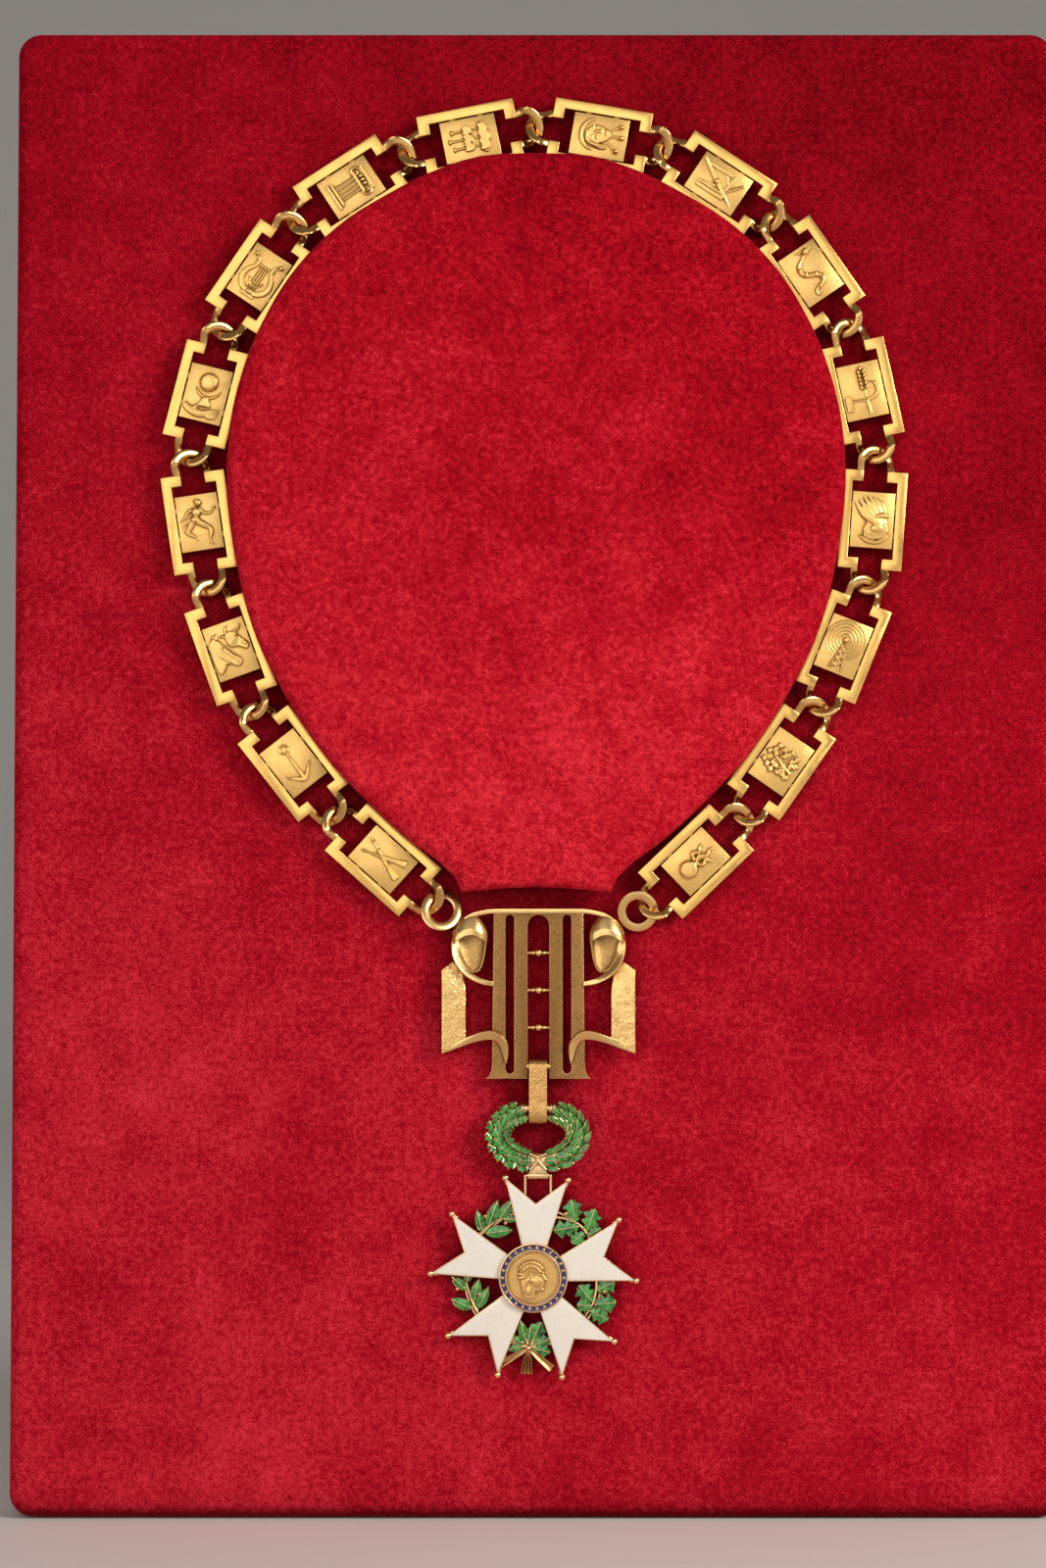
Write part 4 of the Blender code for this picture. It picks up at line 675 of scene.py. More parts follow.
def ships():
    parts = []
    for x, top, low in ((-3.2, 6.4, -7.2), (0.1, 7.4, -8.4), (3.3, 6.6, -7.0)):
        parts.append(stroke([(x, low), (x, top + 0.9)], [1.2, 0.5], 1.3))
        parts.append(mound(x, low + 0.4, 2.3, 1.2, 0, 1.0))
        for foot, head, wide in ((-2.6, 0.5, 2.8), (3.3, top, 3.6)):
            side = [(x - wide / 2, foot), (x, foot + 0.5), (x + wide / 2, foot), (x + wide * 0.44, head),
                    (x - wide * 0.44, head)]
            parts.append(pillow(side, 1.3, 0.5))
    parts += [stroke([(-5.2, 6.6), (-3.0, 6.2), (0, 6.9), (3.2, 6.3), (5.4, 6.8)],
                     [0.5, 1.1, 1.2, 1.1, 0.5], 2.2),
              stroke([(-4.4, 0.6), (0, 0.9), (4.6, 0.6)], [0.5, 1.0, 0.5], 2.2)]
    return parts + [stroke([(way * 4.7, 3.0), (way * 5.7, 5.2), (way * 5.2, 7.2)], [0.5, 1.2, 0.5],
                           1.4) for way in (-1, 1)]


def mask():
    parts = [stroke(arc((0.6, 0.8), 6.2, 12, 158), [0.8, 1.5, 1.9, 2.1, 2.1, 2.1, 1.9, 1.5, 0.8], 0.8),
             pillow([(-2.6, 3.6), (-0.8, 5.0), (2.0, 4.8), (3.8, 3.0), (4.2, 0.4), (3.4, -2.4), (1.4, -4.4),
                     (-0.6, -3.8), (-2.4, -1.2), (-3.0, 1.4)], 1.1, 0.9)]
    features = [stroke([(1.2, 2.2), (1.7, 0.4), (1.9, -0.5)], [0.8, 1.2, 1.7], 1.0),
                stroke([(0.2, -2.0), (1.6, -2.5), (2.8, -1.8)], [0.5, 1.1, 0.5], 1.0),
                stroke([(-1.6, 2.2), (-0.4, 2.6), (0.4, 2.1)], [0.4, 0.8, 0.4], 1.0),
                stroke([(2.4, 2.4), (3.2, 2.8), (3.8, 2.3)], [0.4, 0.8, 0.4], 1.0)]
    features += [mound(x, y, 1.5, 0.8, 8, 1.0) for x, y in ((-0.6, 1.2), (3.0, 1.5))]
    parts += [move(feature, Matrix.Translation((0, 0, 1.1))) for feature in features]
    for i in range(4):
        parts.append(stroke([(1.6 - i * 0.5, 5.0 - 0.2 * i), (-1.8 - 0.5 * i, 4.4 - 0.7 * i),
                             (-3.4 - 0.3 * i, 1.0 - 0.6 * i), (-3.0 - 0.5 * i, -3.2)],
                            [0.7, 1.5, 1.4, 0.4], 0.9, 0.9 - 0.2 * i))
    for tip, end in (((2.6, -3.4), (4.8, -7.8)), ((0.8, -4.2), (0.6, -8.4)), ((-2.0, -3.6), (-4.8, -7.0))):
        parts.append(stroke([tip, end], [0.9, 1.4], 1.0))
        parts.append(mound(*end, 2.0, 2.2, 0, 0.9))
    return parts


def compasses():
    parts = [slab(rectangle(-5, -4.4, -3.6, 7.6), 0.9), slab(rectangle(-3.3, -3.6, -2.4, 6.4), 0.55),
             slab([(-3.6, -4.4), (-3.6, -3.0), (5.6, -3.4), (5.6, -4.8)], 0.5),
             slab(rectangle(4.4, -4, 5.6, 8.4), 0.4),
             slab([(-3.8, 7.6), (-2.6, 7.6), (-0.9, 0.6), (-2.2, 0.6)], 0.5)]
    parts += [stroke([(5.6, 9.3), (0.2, 1.0), (-3.6, -5.4), (-5.4, -8.4)], [1.5, 1.9, 1.5, 0.4], 1.1),
              stroke([(-1.9, -3.6), (1.4, -6.4), (4.0, -8.6)], [1.2, 1.6, 1.3], 1.1),
              stroke([(-2.9, -1.8), (-0.6, -3.6), (4.4, -1.2)], [0.5, 0.8, 0.5])]
    return parts + [mound(0.2, 1.0, 2.2, 2.2, 0, 0.9, 0.5)]


def serpent():
    body = [(2.4, 7.6), (0.2, 6.2), (-2.6, 4.2), (-2.9, 1.4), (-0.6, -0.6), (2.1, -1.9), (3.1, -4.0),
            (1.0, -5.8), (-1.8, -6.6), (-2.1, -8.4), (0.6, -9.0)]
    parts = [stroke(body, [1.6, 1.5, 2.1, 2.3, 2.2, 2.2, 2.1, 1.8, 1.5, 1.1, 0.4], 1.0),
             mound(2.7, 8.0, 3.2, 2.2, 30, 0.9, 0.3), mound(3.2, 8.7, 0.7, 0.7, 0, 1.0, 1.2),
             stroke([(-1.4, 9.2), (0.6, 8.6), (2.0, 8.6)], [0.4, 1.0, 1.2], 1.0)]
    parts += [stroke([(3.6, 8.2), (4.8, 8.4 - 0.9 * i), (5.8, 8.8 - 1.6 * i)], [0.6, 0.4, 0.2],
                     1.3) for i in (0, 1)]
    for x, y, turn in ((-2.9, 3.2, 0), (-2.0, 0.4, 40), (1.4, -1.4, 60), (3.0, -3.4, 10), (0.2, -6.2, 80)):
        parts.append(mound(x, y, 2.5, 0.6, turn, 1.1, 0.9))
    return parts


def sickle():
    parts = [stroke([(2.6, 3.2), (4.9, 2.4), (5.9, 0), (4.8, -2.4), (2.0, -3.6), (-1.0, -3.8)],
                    [0.3, 1.3, 1.8, 1.8, 1.4, 1.0], 1.0),
             stroke([(1.1, -4.0), (1.2, -6.4), (1.4, -9.0)], [1.1, 1.6, 1.3], 1.0),
             stroke([(1.0, -3.7), (-5.6, -3.2)], 1.1, 1.0),
             slab([(-7.2, -7.0), (-5.1, -7.2), (-4.9, -1.5), (-7.0, -1.3)], 1.1),
             stroke([(0.9, -2.6), (0.9, 1.0), (0.7, 8.2)], [0.6, 0.6, 0.3], 1.2),
             mound(0.6, 8.4, 1.1, 2.2, 0, 1.0)]
    for i in range(5):
        for side in (-1, 1):
            parts.append(mound(0.8 + 1.0 * side, 1.2 + 1.5 * i, 1.25, 2.4, -26 * side, 1.0, 0.1))
    return parts


def winged_cap():
    parts = [pillow([(-3.4, -5.8), (-3.2, -2.6), (-0.8, 0.2), (2.4, 0.6), (5.2, -1.0), (6.2, -4.0),
                     (4.8, -6.4), (1.0, -7.4), (-2.2, -7.0)], 1.2, 1.0),
             stroke([(-4.9, -6.0), (-1.4, -8.1), (3.4, -7.9), (6.6, -5.2)], [0.9, 1.7, 1.7, 0.9], 1.2),
             stroke([(-3.2, -4.9), (0.8, -5.8), (5.6, -4.2)], 0.8, 1.0, 1.1),
             mound(1.6, -3.0, 5.0, 3.6, 8, 0.4, 1.0)]
    for i in range(5):
        tip = (-7.4 + 1.7 * i, 6.6 + 2.6 * math.sin(0.5 * i + 0.1))
        bend = (-3.2 + 1.6 * i, 1.8 + 0.95 * i)
        parts.append(stroke([(2.6 + 0.6 * i, -1.8 + 0.1 * i), bend, tip], [2.0, 2.9, 0.6],
                            0.6, 0.35 * (4 - i)))
    return parts + [stroke([(-2.6, -0.6), (0.4, 0.9), (3.6, 1.8), (6.2, 1.6)], [0.9, 1.9, 2.2, 1.2],
                           1.0, 0.9)]


def radio_mast():
    parts = [stroke(arc((0, 2.6), radius, -68, 316, 17), 0.62, 1.0) for radius in (2.3, 3.6, 4.9, 6.2, 7.4)]
    parts += [stroke(leg, [0.5, 0.9], 1.6) for leg in both([(0.2, 2.2), (2.5, -9.2)])]
    for i in range(4):
        top, low = 0.4 - 2.4 * i, -2.0 - 2.4 * i
        near, far = 0.25 + 0.2 * (2.2 - top), 0.25 + 0.2 * (2.2 - low)
        parts += [stroke([(-near, top), (far, low)], 0.5, 1.4),
                  stroke([(near, top), (-far, low)], 0.5, 1.4)]
    return parts + [mound(0, 2.6, 2.4, 2.4, 0, 0.9)]


def tree():
    parts = [stroke([(5.6, -2.3), (2.8, -1.4), (0, -0.6), (-2.8, 0.5), (-5.0, 0.8)],
                    [1.8, 1.5, 1.2, 0.9, 0.5], 1.2),
             stroke([(1.2, -1.0), (2.2, 1.2), (4.2, 2.6)], [1.1, 0.9, 0.5], 1.2),
             stroke([(-0.4, -0.3), (-1.4, 1.9), (-3.2, 3.6)], [1.1, 0.9, 0.5], 1.2),
             stroke([(1.4, -1.2), (0.2, -2.6), (-1.2, -3.6)], [1.1, 0.8, 0.5], 1.2),
             stroke([(-1.9, 0.2), (-3.5, -1.3), (-5.2, -1.9)], [1.0, 0.8, 0.5], 1.2)]
    for x, y, turn in (
        (-5.2, 1.0, 95), (-3.8, 2.1, 60), (-3.3, 3.9, 40), (-1.3, 3.3, 10), (0.5, 2.5, -10), (1.9, 3.9, 20),
        (4.1, 3.3, -40), (2.8, 1.7, -60), (4.7, 0.8, -70), (-5.4, -2.2, 110), (-3.6, -3.1, 140),
        (-1.6, -4.0, 160), (0.6, -3.4, 200), (-1.9, -1.7, 120), (2.5, -3.2, 215), (3.9, -4.0, 250),
        (-0.2, 1.2, 0), (-2.4, 0.9, 70), (1.6, -1.9, 200), (-0.6, -1.8, 150), (3.2, -0.2, -60),
    ):
        for swing, size in ((-46, 0.85), (0, 1.1), (46, 0.85)):
            leaf = ray(turn + swing + 90, 2.2 * size)
            knots = [Vector((x, y)) + leaf * share for share in (0, 0.5, 1)]
            parts.append(stroke(knots, [0.6, 1.4 * size, 0.3], 1.2, 0.4))
    return parts


def grenade():
    parts = [mound(0.3, -4.1, 7.2, 7.2, 0, 0.8), mound(0.3, -0.7, 3.0, 1.8, 0, 1.2),
             stroke(arc((0.3, -4.1), 2.2, 200, 140, 7), 0.5, 0.8, 1.5)]
    for flame, wide in (([(-0.6, -0.4), (-2.9, 1.2), (-1.9, 3.4), (-3.2, 5.4), (-1.8, 7.0)], 2.2),
                        ([(0.2, -0.2), (-0.2, 2.4), (1.1, 4.6), (0.4, 6.8), (1.7, 9.3)], 2.8),
                        ([(1.0, -0.3), (2.7, 1.2), (2.1, 3.0), (3.8, 4.2), (4.9, 5.9)], 2.2)):
        parts.append(stroke(flame, [wide * 0.6, wide, wide * 0.8, wide * 0.6, 0.3], 1.25))
    return parts


LINKS = (
    # name, heading, drawing, and the size of the cells in which a soft emblem is run together
    ("rifles", 138.2, rifles, 0), ("anchor", 128.0, anchor, 0), ("livestock", 109.7, livestock, 0.15),
    ("athlete", 98.6, athlete, 0.17), ("globe", 75.9, globe, 0.17), ("lyre", 56.0, lyre, 0),
    ("capital", 33.1, capital, 0), ("ships", 11.5, ships, 0.16), ("mask", -9.7, mask, 0.17),
    ("compasses", -33.5, compasses, 0), ("serpent", -55.6, serpent, 0.16), ("sickle", -77.6, sickle, 0),
    ("winged_cap", -94.2, winged_cap, 0.17), ("radio_mast", -112.0, radio_mast, 0),
    ("tree", -125.0, tree, 0.18), ("grenade", -136.2, grenade, 0.18),
)
HALF = len(LINKS) // 2
steps = [ray(heading, PITCH) for _, heading, _, _ in LINKS]
places = [None] * len(LINKS)
left_end = right_end = Vector(TOP_JOINT)
for i in range(HALF, len(LINKS)):
    places[i] = right_end + steps[i] / 2
    right_end = right_end + steps[i]
for i in reversed(range(HALF)):
    places[i] = left_end - steps[i] / 2
    left_end = left_end - steps[i]


def facing(x, z, heading=0.0):
    """A frame whose X runs along the heading across the board and whose Z points out of its front."""
    return (Matrix.Translation((x, LINK_MID, z)) @ Matrix.Rotation(-math.radians(heading), 4, "Y")
            @ Matrix.Rotation(math.pi / 2, 4, "X"))


for i, ((name, heading, draw, cell), place) in enumerate(zip(LINKS, places)):
    raised = relief_of(draw(), ROOT, SOFT_RELIEF_TOP if cell else RELIEF_TOP, cell)
    upright = Matrix.Rotation(math.radians(-90 if i < HALF else 90), 4, "Z")
    move(raised, Matrix.Translation((0, 0, FIELD)) @ upright @ Matrix.Scale(UNIT, 4))
    link = join("link", copy_of(link_frame), copy_of(plaque_blank), painted(raised, plaque_gold))
    move(link, facing(place.x, place.y, heading))
    finish(link, "link_of_" + name, "display", ("link_" + name,), 40)
for pattern in (link_frame, plaque_blank):
    bpy.data.objects.remove(pattern)

# The centre motif: a gold plate with upright bars, pierced through between them and tied by three thin
# beaded bars. A ribbon runs off each top corner, rolls into a hollow scroll and hangs down as a hammered,
# folded flag. The two rings that take the ends of the chain are soldered on.
MM = 0.001
MOTIF_X, MOTIF_HEIGHT, MOTIF_THICKNESS = 0.0009, 0.0647, 0.0024
GRILLE_BAR, GRILLE_SLOT, CENTRE_SLOT, TOP_STRIP = 0.0050, 0.0034, 0.0084, 0.0022
FOOT_HEIGHT, FOOT_FLARE, FLARE_RISE, FLARE_STEPS = 0.0018, 0.0026, 0.00624, 6
TIES, TIE_RADIUS, BAR_RISE, BAR_RADIUS = (0.26, 0.48, 0.70), 0.55 * MM, 0.0047, 0.00125
BEADS = ((0, 1.5), (-2.1, 0.85), (2.1, 0.85), (-1.5, 0.65), (1.5, 0.65))
RING_RADIUS, RING_WIRE, RING_TURNS, RING_SIDES = 0.0062, 0.0034, (6.0, -20.0), 12

antique = metal_finish("antique grained gold", (0.36, 0.19, 0.062), (0.07, 0.028, 0.007),
                       rough=0.44, grain=1.0, scale=1500.0, depth=0.8, dents=0.10)
edge_gold = metal_finish("rubbed edge gold", (0.92, 0.60, 0.24), (0.20, 0.09, 0.02), rough=0.28, grain=0.35,
                         scale=2200.0, depth=0.9)
hammered = metal_finish("hammered gold", (0.95, 0.62, 0.24), (0.30, 0.13, 0.03), rough=0.30, grain=0.5,
                        scale=2200.0, depth=0.85, dents=0.45)
# The inside of the scroll is a darker, rougher copy of the gold. The darker colour is painted shade in the
# hollow of the roll.
scroll_shade_gold = metal_finish("scroll gold painted in shade", (0.60, 0.36, 0.13), (0.07, 0.028, 0.006),
                           rough=0.46, grain=0.7, scale=1900.0, depth=1.0, dents=0.25)

rings = []
for end, heading, turn in ((left_end, LINKS[0][1] + 180, RING_TURNS[0]),
                           (right_end, LINKS[-1][1], RING_TURNS[1])):
    outward = ray(heading + turn)
    rings.append((end + outward * (LOOP_SPACING / 2 + RING_RADIUS - LOOP_RADIUS), -outward))
MOTIF_TOP = min(middle.y for middle, _ in rings) + RING_RADIUS * 0.25 - 0.4 * MM
EDGE = CENTRE_SLOT / 2 + 2 * GRILLE_BAR + GRILLE_SLOT


def bent(columns, rows, spot, thickness=0.0):
    """A flat grid bent to shape: spot(s, t) places each point from its shares along and across the grid."""
    bpy.ops.mesh.primitive_grid_add(x_subdivisions=columns, y_subdivisions=rows, size=1)
    sheet = bpy.context.object
    for vertex in sheet.data.vertices:
        vertex.co = spot(vertex.co.x + 0.5, vertex.co.y + 0.5)
    edit()
    seal(0.000002)
    if thickness:
        modify(sheet, "SOLIDIFY", thickness=thickness, offset=0)
    return sheet


def strip(upper, lower, columns, thickness, rows=4):
    """A sheet between two curves, in millimetres."""
    return bent(columns, rows, lambda s, t: (along(lower, s) * (1 - t) + along(upper, s) * t) * MM,
                thickness * MM)


def slot(middle, width, top, bottom):
    """A round-ended cutter that stands right through the plate."""
    outline = arc((middle, top - width / 2), width / 2, 0, 180)
    outline += arc((middle, bottom + width / 2), width / 2, 180, 180)
    return blank(outline, -MOTIF_THICKNESS, MOTIF_THICKNESS)


def ball(x, y, z, radius, made, segments=12, rings=8):
    bpy.ops.mesh.primitive_uv_sphere_add(segments=segments, ring_count=rings, radius=radius,
                                         location=(x, y, z))
    return painted(move(bpy.context.object, Matrix()), made)


def crossbar(y, radius, sides):
    """A round bar right across the middle slot."""
    bpy.ops.mesh.primitive_cylinder_add(vertices=sides, radius=radius, depth=CENTRE_SLOT + 0.8 * MM,
                                        location=(0, y, 0), rotation=(0, math.pi / 2, 0))
    return painted(move(bpy.context.object, Matrix()), edge_gold)


side = [(EDGE - 0.6 * MM, 0.0)]
for i in range(FLARE_STEPS):
    turn = ray(90 * i / FLARE_STEPS)
    side.append((EDGE + FOOT_FLARE * (1 - turn.x), -MOTIF_HEIGHT + FLARE_RISE * (1 - turn.y)))
side.append((EDGE + FOOT_FLARE, -MOTIF_HEIGHT))
grille = blank([(-x, y) for x, y in side] + side[::-1], -MOTIF_THICKNESS / 2, MOTIF_THICKNESS / 2)
beside = CENTRE_SLOT / 2 + GRILLE_BAR + GRILLE_SLOT / 2
for middle, width, bottom in (
    (0.0, CENTRE_SLOT, -CENTRE_SLOT), (-beside, GRILLE_SLOT, FOOT_HEIGHT),
    (beside, GRILLE_SLOT, FOOT_HEIGHT),
):
    cutter = slot(middle, width, -TOP_STRIP, -MOTIF_HEIGHT + bottom)
    modify(grille, "BOOLEAN", object=cutter, operation="DIFFERENCE", solver="EXACT")
    bpy.data.objects.remove(cutter)
painted(grille, antique, edge_gold)
soften(grille, 0.00028, 2, 35, material=1)
for face in grille.data.polygons:
    if abs(face.normal.z) < 0.5:
        face.material_index = 1
parts = [grille, crossbar(-MOTIF_HEIGHT + BAR_RISE, BAR_RADIUS, 20)]
for share in TIES:
    parts.append(crossbar(-MOTIF_HEIGHT * share, TIE_RADIUS, 14))
    for x, size in BEADS:
        parts.append(ball(x * MM, -MOTIF_HEIGHT * share, 0, size * MM, edge_gold, 16, 10))

# The top bar runs right across and ends in a scroll on each side. The rest of a side's ribbon is drawn for
# the right, in millimetres, and mirrored for the left: scroll, flag and the fold at its foot.
BAR_LINE = (
    # x, y, and how far out the front and the back of the bar stand
    (0, -0.85, 1.25, -1.25), (8, -0.85, 1.25, -1.25), (17, -0.9, 1.3, -1.2), (21.5, -1.5, 1.6, -1.0),
    (25.2, -2.5, 2.0, -0.6), (28.0, -4.2, 2.2, -0.2),
)
line = [(-x, y, front, back) for x, y, front, back in reversed(BAR_LINE[1:])] + list(BAR_LINE)
top_bar = strip([(x, y, front) for x, y, front, _ in line], [(x, y, back) for x, y, _, back in line],
                60, 1.7)


def hood(s, t):
    """The top of the roll: it wraps over the front and ends in an arched lip."""
    turn = math.pi * (1.16 * s - 0.08)
    wide = 6.8 * math.sin(math.radians(22 + 68 * min(t * 1.25, 1)))
    drop = t ** 1.1 * (6.9 + 4.0 * math.cos(turn) ** 2 + 0.7 * math.cos(turn))
    out = 0.4 + 3.7 * math.sin(turn) * min(0.4 + 0.8 * t, 1)
    return Vector((25.8 + 0.7 * t + wide * math.cos(turn), -3.1 - drop, out)) * MM


def bowl(s, t):
    """The hollow below it, narrowing to a tip."""
    turn = math.pi * s
    wide = 6.4 * math.cos(math.radians(89.8 * t)) ** 0.5 * min(1, 0.66 + 2.4 * t)
    out = 1.8 - 4.2 * math.sin(turn) ** 0.8 * math.cos(math.radians(74 * t))
    return Vector((26.3 - 2.0 * t * t + wide * math.cos(turn), -6.6 - 17.6 * t, out)) * MM


scroll = [painted(bent(26, 12, hood, 0.55 * MM), edge_gold),
          painted(bent(20, 18, bowl, 0.5 * MM), scroll_shade_gold)]
rim = strip([(32.2, -9.8, 0.8), (33.3, -13.7, 2.2), (32.7, -18.4, 2.9), (30.2, -23.0, 3.0),
             (26.4, -26.6, 2.8), (22.0, -28.7, 2.2), (17.2, -29.5, 1.2)],
            [(31.3, -10.6, 1.0), (30.2, -14.4, 1.2), (29.4, -18.4, 0.6), (26.8, -23.0, 1.0),
             (23.4, -25.9, 1.5), (20.0, -27.2, 1.6), (17.2, -27.8, 1.2)], 26, 0.9)
flag = strip([(37.1, -23.6, 0.5), (37.0, -25.4, 0.8), (36.9, -31, 1.3), (36.9, -38, 1.0), (36.9, -47, 1.2),
              (37.0, -55.0, 0.9)],
             [(31.4, -19.4, -0.9), (29.2, -22.6, -0.9), (28.0, -31, -0.2), (27.9, -38, 0.4),
              (27.9, -46, 0.2), (27.8, -51.2, 0.4)],
             40, 1.0, 8)
fold = strip([(29.4, -49.6, 0.9), (26.0, -48.6, 1.6), (21.8, -46.9, 2.7), (17.4, -46.4, 3.7),
              (13.9, -48.2, 4.2), (11.8, -51.6, 3.9), (11.5, -55.6, 2.6), (12.1, -58.6, 1.5)],
             [(37.1, -55.4, 0.5), (31.0, -53.0, 0.7), (25.0, -50.8, 0.9), (19.0, -49.6, 1.5),
              (15.9, -50.6, 1.7), (14.2, -53.2, 1.7), (13.1, -56.4, 1.6), (12.5, -58.9, 1.4)],
             36, 0.95)
for piece, made in ((flag, hammered), (fold, edge_gold), (rim, edge_gold), (top_bar, edge_gold)):
    soften(painted(piece, made), 0.00018, 2, 50)
right = join("right ribbon", rim, fold, flag, *scroll)
left = copy_of(right, Matrix.Diagonal((-1, 1, 1, 1)))
edit()
bpy.ops.mesh.flip_normals()
close()
parts += [top_bar, right, left]


def tilted_ring(middle, towards):
    """A soldered ring, tilted about the line that runs to the chain."""
    line = towards.normalized()
    across = Vector((-line.y, line.x))
    section = ring_of_wire(RING_WIRE, WIRE_THICKNESS, 3.2, RING_SIDES)

    def spot(s, t):
        turn = 2 * math.pi * s
        out, up = section[round(t * RING_SIDES) % RING_SIDES]
        reach = RING_RADIUS + out
        flat = middle + (line * math.cos(turn) + across * math.sin(turn)) * reach
        return Vector((flat.x, flat.y, up + LOOP_TILT * reach * math.sin(turn)))
    return painted(bent(40, RING_SIDES, spot), edge_gold)


parts += [tilted_ring(middle - Vector((MOTIF_X, MOTIF_TOP)), towards) for middle, towards in rings]
motif = join("motif", *parts)
move(motif, facing(MOTIF_X, MOTIF_TOP))
finish(motif, "openwork_centre_motif", "display", ("centre_motif",), 40)

# The bail: a gold strap, hammered and bent into a closed loop. It swings on the motif's hidden bar, and the
# wreath's bare stem turns in it.
BAIL_WIDTH, STRAP, BAIL_LENGTH, BAIL_NOSE = 0.0069, 0.0010, 0.0160, 0.0035
STEM_RADIUS = 0.0016
BAIL_X = MOTIF_X - 0.0002
BAR_Z = MOTIF_TOP - MOTIF_HEIGHT + BAR_RISE
STEM_Z = BAR_Z - BAIL_LENGTH


def strap(s, t):
    """The strap's run: over the bar, down behind it, round under the stem and up in front."""
    upper, lower = BAR_RADIUS + GAP + STRAP / 2, STEM_RADIUS + GAP + STRAP / 2
    low = -BAIL_LENGTH - BAIL_NOSE * 0.55
    share = (s * 4) % 4
    turn = math.pi * share
    if share < 1:
        y, z = -upper * math.cos(turn), upper * math.sin(turn)
    elif share < 2:
        y, z = upper + (lower - upper) * (share - 1), low * (share - 1)
    elif share < 3:
        y, z = lower * math.cos(turn), low - lower * math.sin(turn) * 1.5
    else:
        y, z = -lower + (lower - upper) * (share - 3), low * (4 - share)
    return Vector(((t - 0.5) * BAIL_WIDTH, y, z))


strap_gold = metal_finish("hammered strap gold", (0.74, 0.42, 0.15), (0.20, 0.08, 0.02),
                          rough=0.32, grain=0.6, scale=2200.0, depth=0.85, dents=0.35)
bail = painted(bent(56, 6, strap, STRAP * 0.92), strap_gold)
soften(bail, 0.00022, 3, 50)
move(bail, Matrix.Translation((BAIL_X, LINK_MID, BAR_Z)))
finish(bail, "strap_bail", "bail", ("bail",), 50)

# Enamel: clear colour over a worked ground, so it is lighter where it lies thin and darker where it lies
# deep. Painted shade darkens it towards near black in the nooks beside raised gold.
glaze, glaze_in, glaze_out = new_group(
    "enamel colour",
    (("Deep", "Color", (0, 0.05, 0.01, 1)), ("Bright", "Color", (0.05, 0.4, 0.08, 1))),
    (("Color", "Color"), ("Normal", "Vector")),
)
spot = add_node(glaze, "ShaderNodeTexCoord").outputs["Object"]
pools = maths(glaze, "ADD", times(glaze, noise(glaze, spot, 640.0), 0.6),
              times(glaze, noise(glaze, spot, 210.0), 0.4))
tint = mixed(glaze, ramp(glaze, pools, 0.36, 0.62), glaze_in.outputs["Deep"], glaze_in.outputs["Bright"])
# Painted shade: the enamel goes towards near black in the nooks beside raised gold.
shade = add_node(glaze, "ShaderNodeAmbientOcclusion", values={"Distance": 0.0012}, samples=6,
                 only_local=True)
tint = mixed(glaze, times(glaze, ramp(glaze, shade.outputs["AO"], 0.9, 0.3), 0.55),
             tint, (0.01, 0.012, 0.008))
ripple = add_node(glaze, "ShaderNodeBump", {"Height": pools}, {"Strength": 0.12, "Distance": 0.0002})
glaze.links.new(tint, glaze_out.inputs["Color"])
glaze.links.new(ripple.outputs["Normal"], glaze_out.inputs["Normal"])


def enamel(name, deep, bright, rough=0.16):
    return from_group(name, glaze, {"Deep": (*deep, 1), "Bright": (*bright, 1)}, Roughness=rough,
                      Coat_Weight=0.7, Coat_Roughness=0.04, Specular_IOR_Level=0.5)


green_enamel = enamel("green leaf enamel", (0.004, 0.075, 0.012), (0.05, 0.42, 0.055))
white_enamel = enamel("ivory white enamel", (0.83, 0.765, 0.68), (0.87, 0.81, 0.72), 0.2)
blue_enamel = enamel("violet blue enamel", (0.008, 0.003, 0.052), (0.024, 0.010, 0.14))
trim_gold = metal_finish("leaf edge gold", (0.95, 0.66, 0.33), (0.22, 0.10, 0.02), rough=0.28, grain=0.3,
                         scale=2200.0, depth=0.7)
bow_gold = metal_finish("dark bow gold", (0.66, 0.40, 0.17), (0.14, 0.06, 0.015), rough=0.32, grain=0.4,
                        scale=2200.0, depth=1.0)
berry_gold = metal_finish("berry red gold", (0.90, 0.40, 0.15), (0.25, 0.08, 0.02), rough=0.25, grain=0.3,
                          scale=2200.0, depth=0.6)

# Each leaf is drawn across from these columns: a raised gold edge, a dip, enamel, and a gold midrib.
LEAF_COLUMNS = (-1.0, -0.80, -0.62, -0.2, -0.1, 0.1, 0.2, 0.62, 0.80, 1.0)
LEAF_HEIGHTS = (0.0, 0.40, 0.14, 0.26, 0.46, 0.46, 0.26, 0.14, 0.40, 0.0)
ENAMEL_COLUMNS = (2, 3, 5, 6)
LEAF_EDGE, LEAF_THICKNESS = 0.36, 0.28


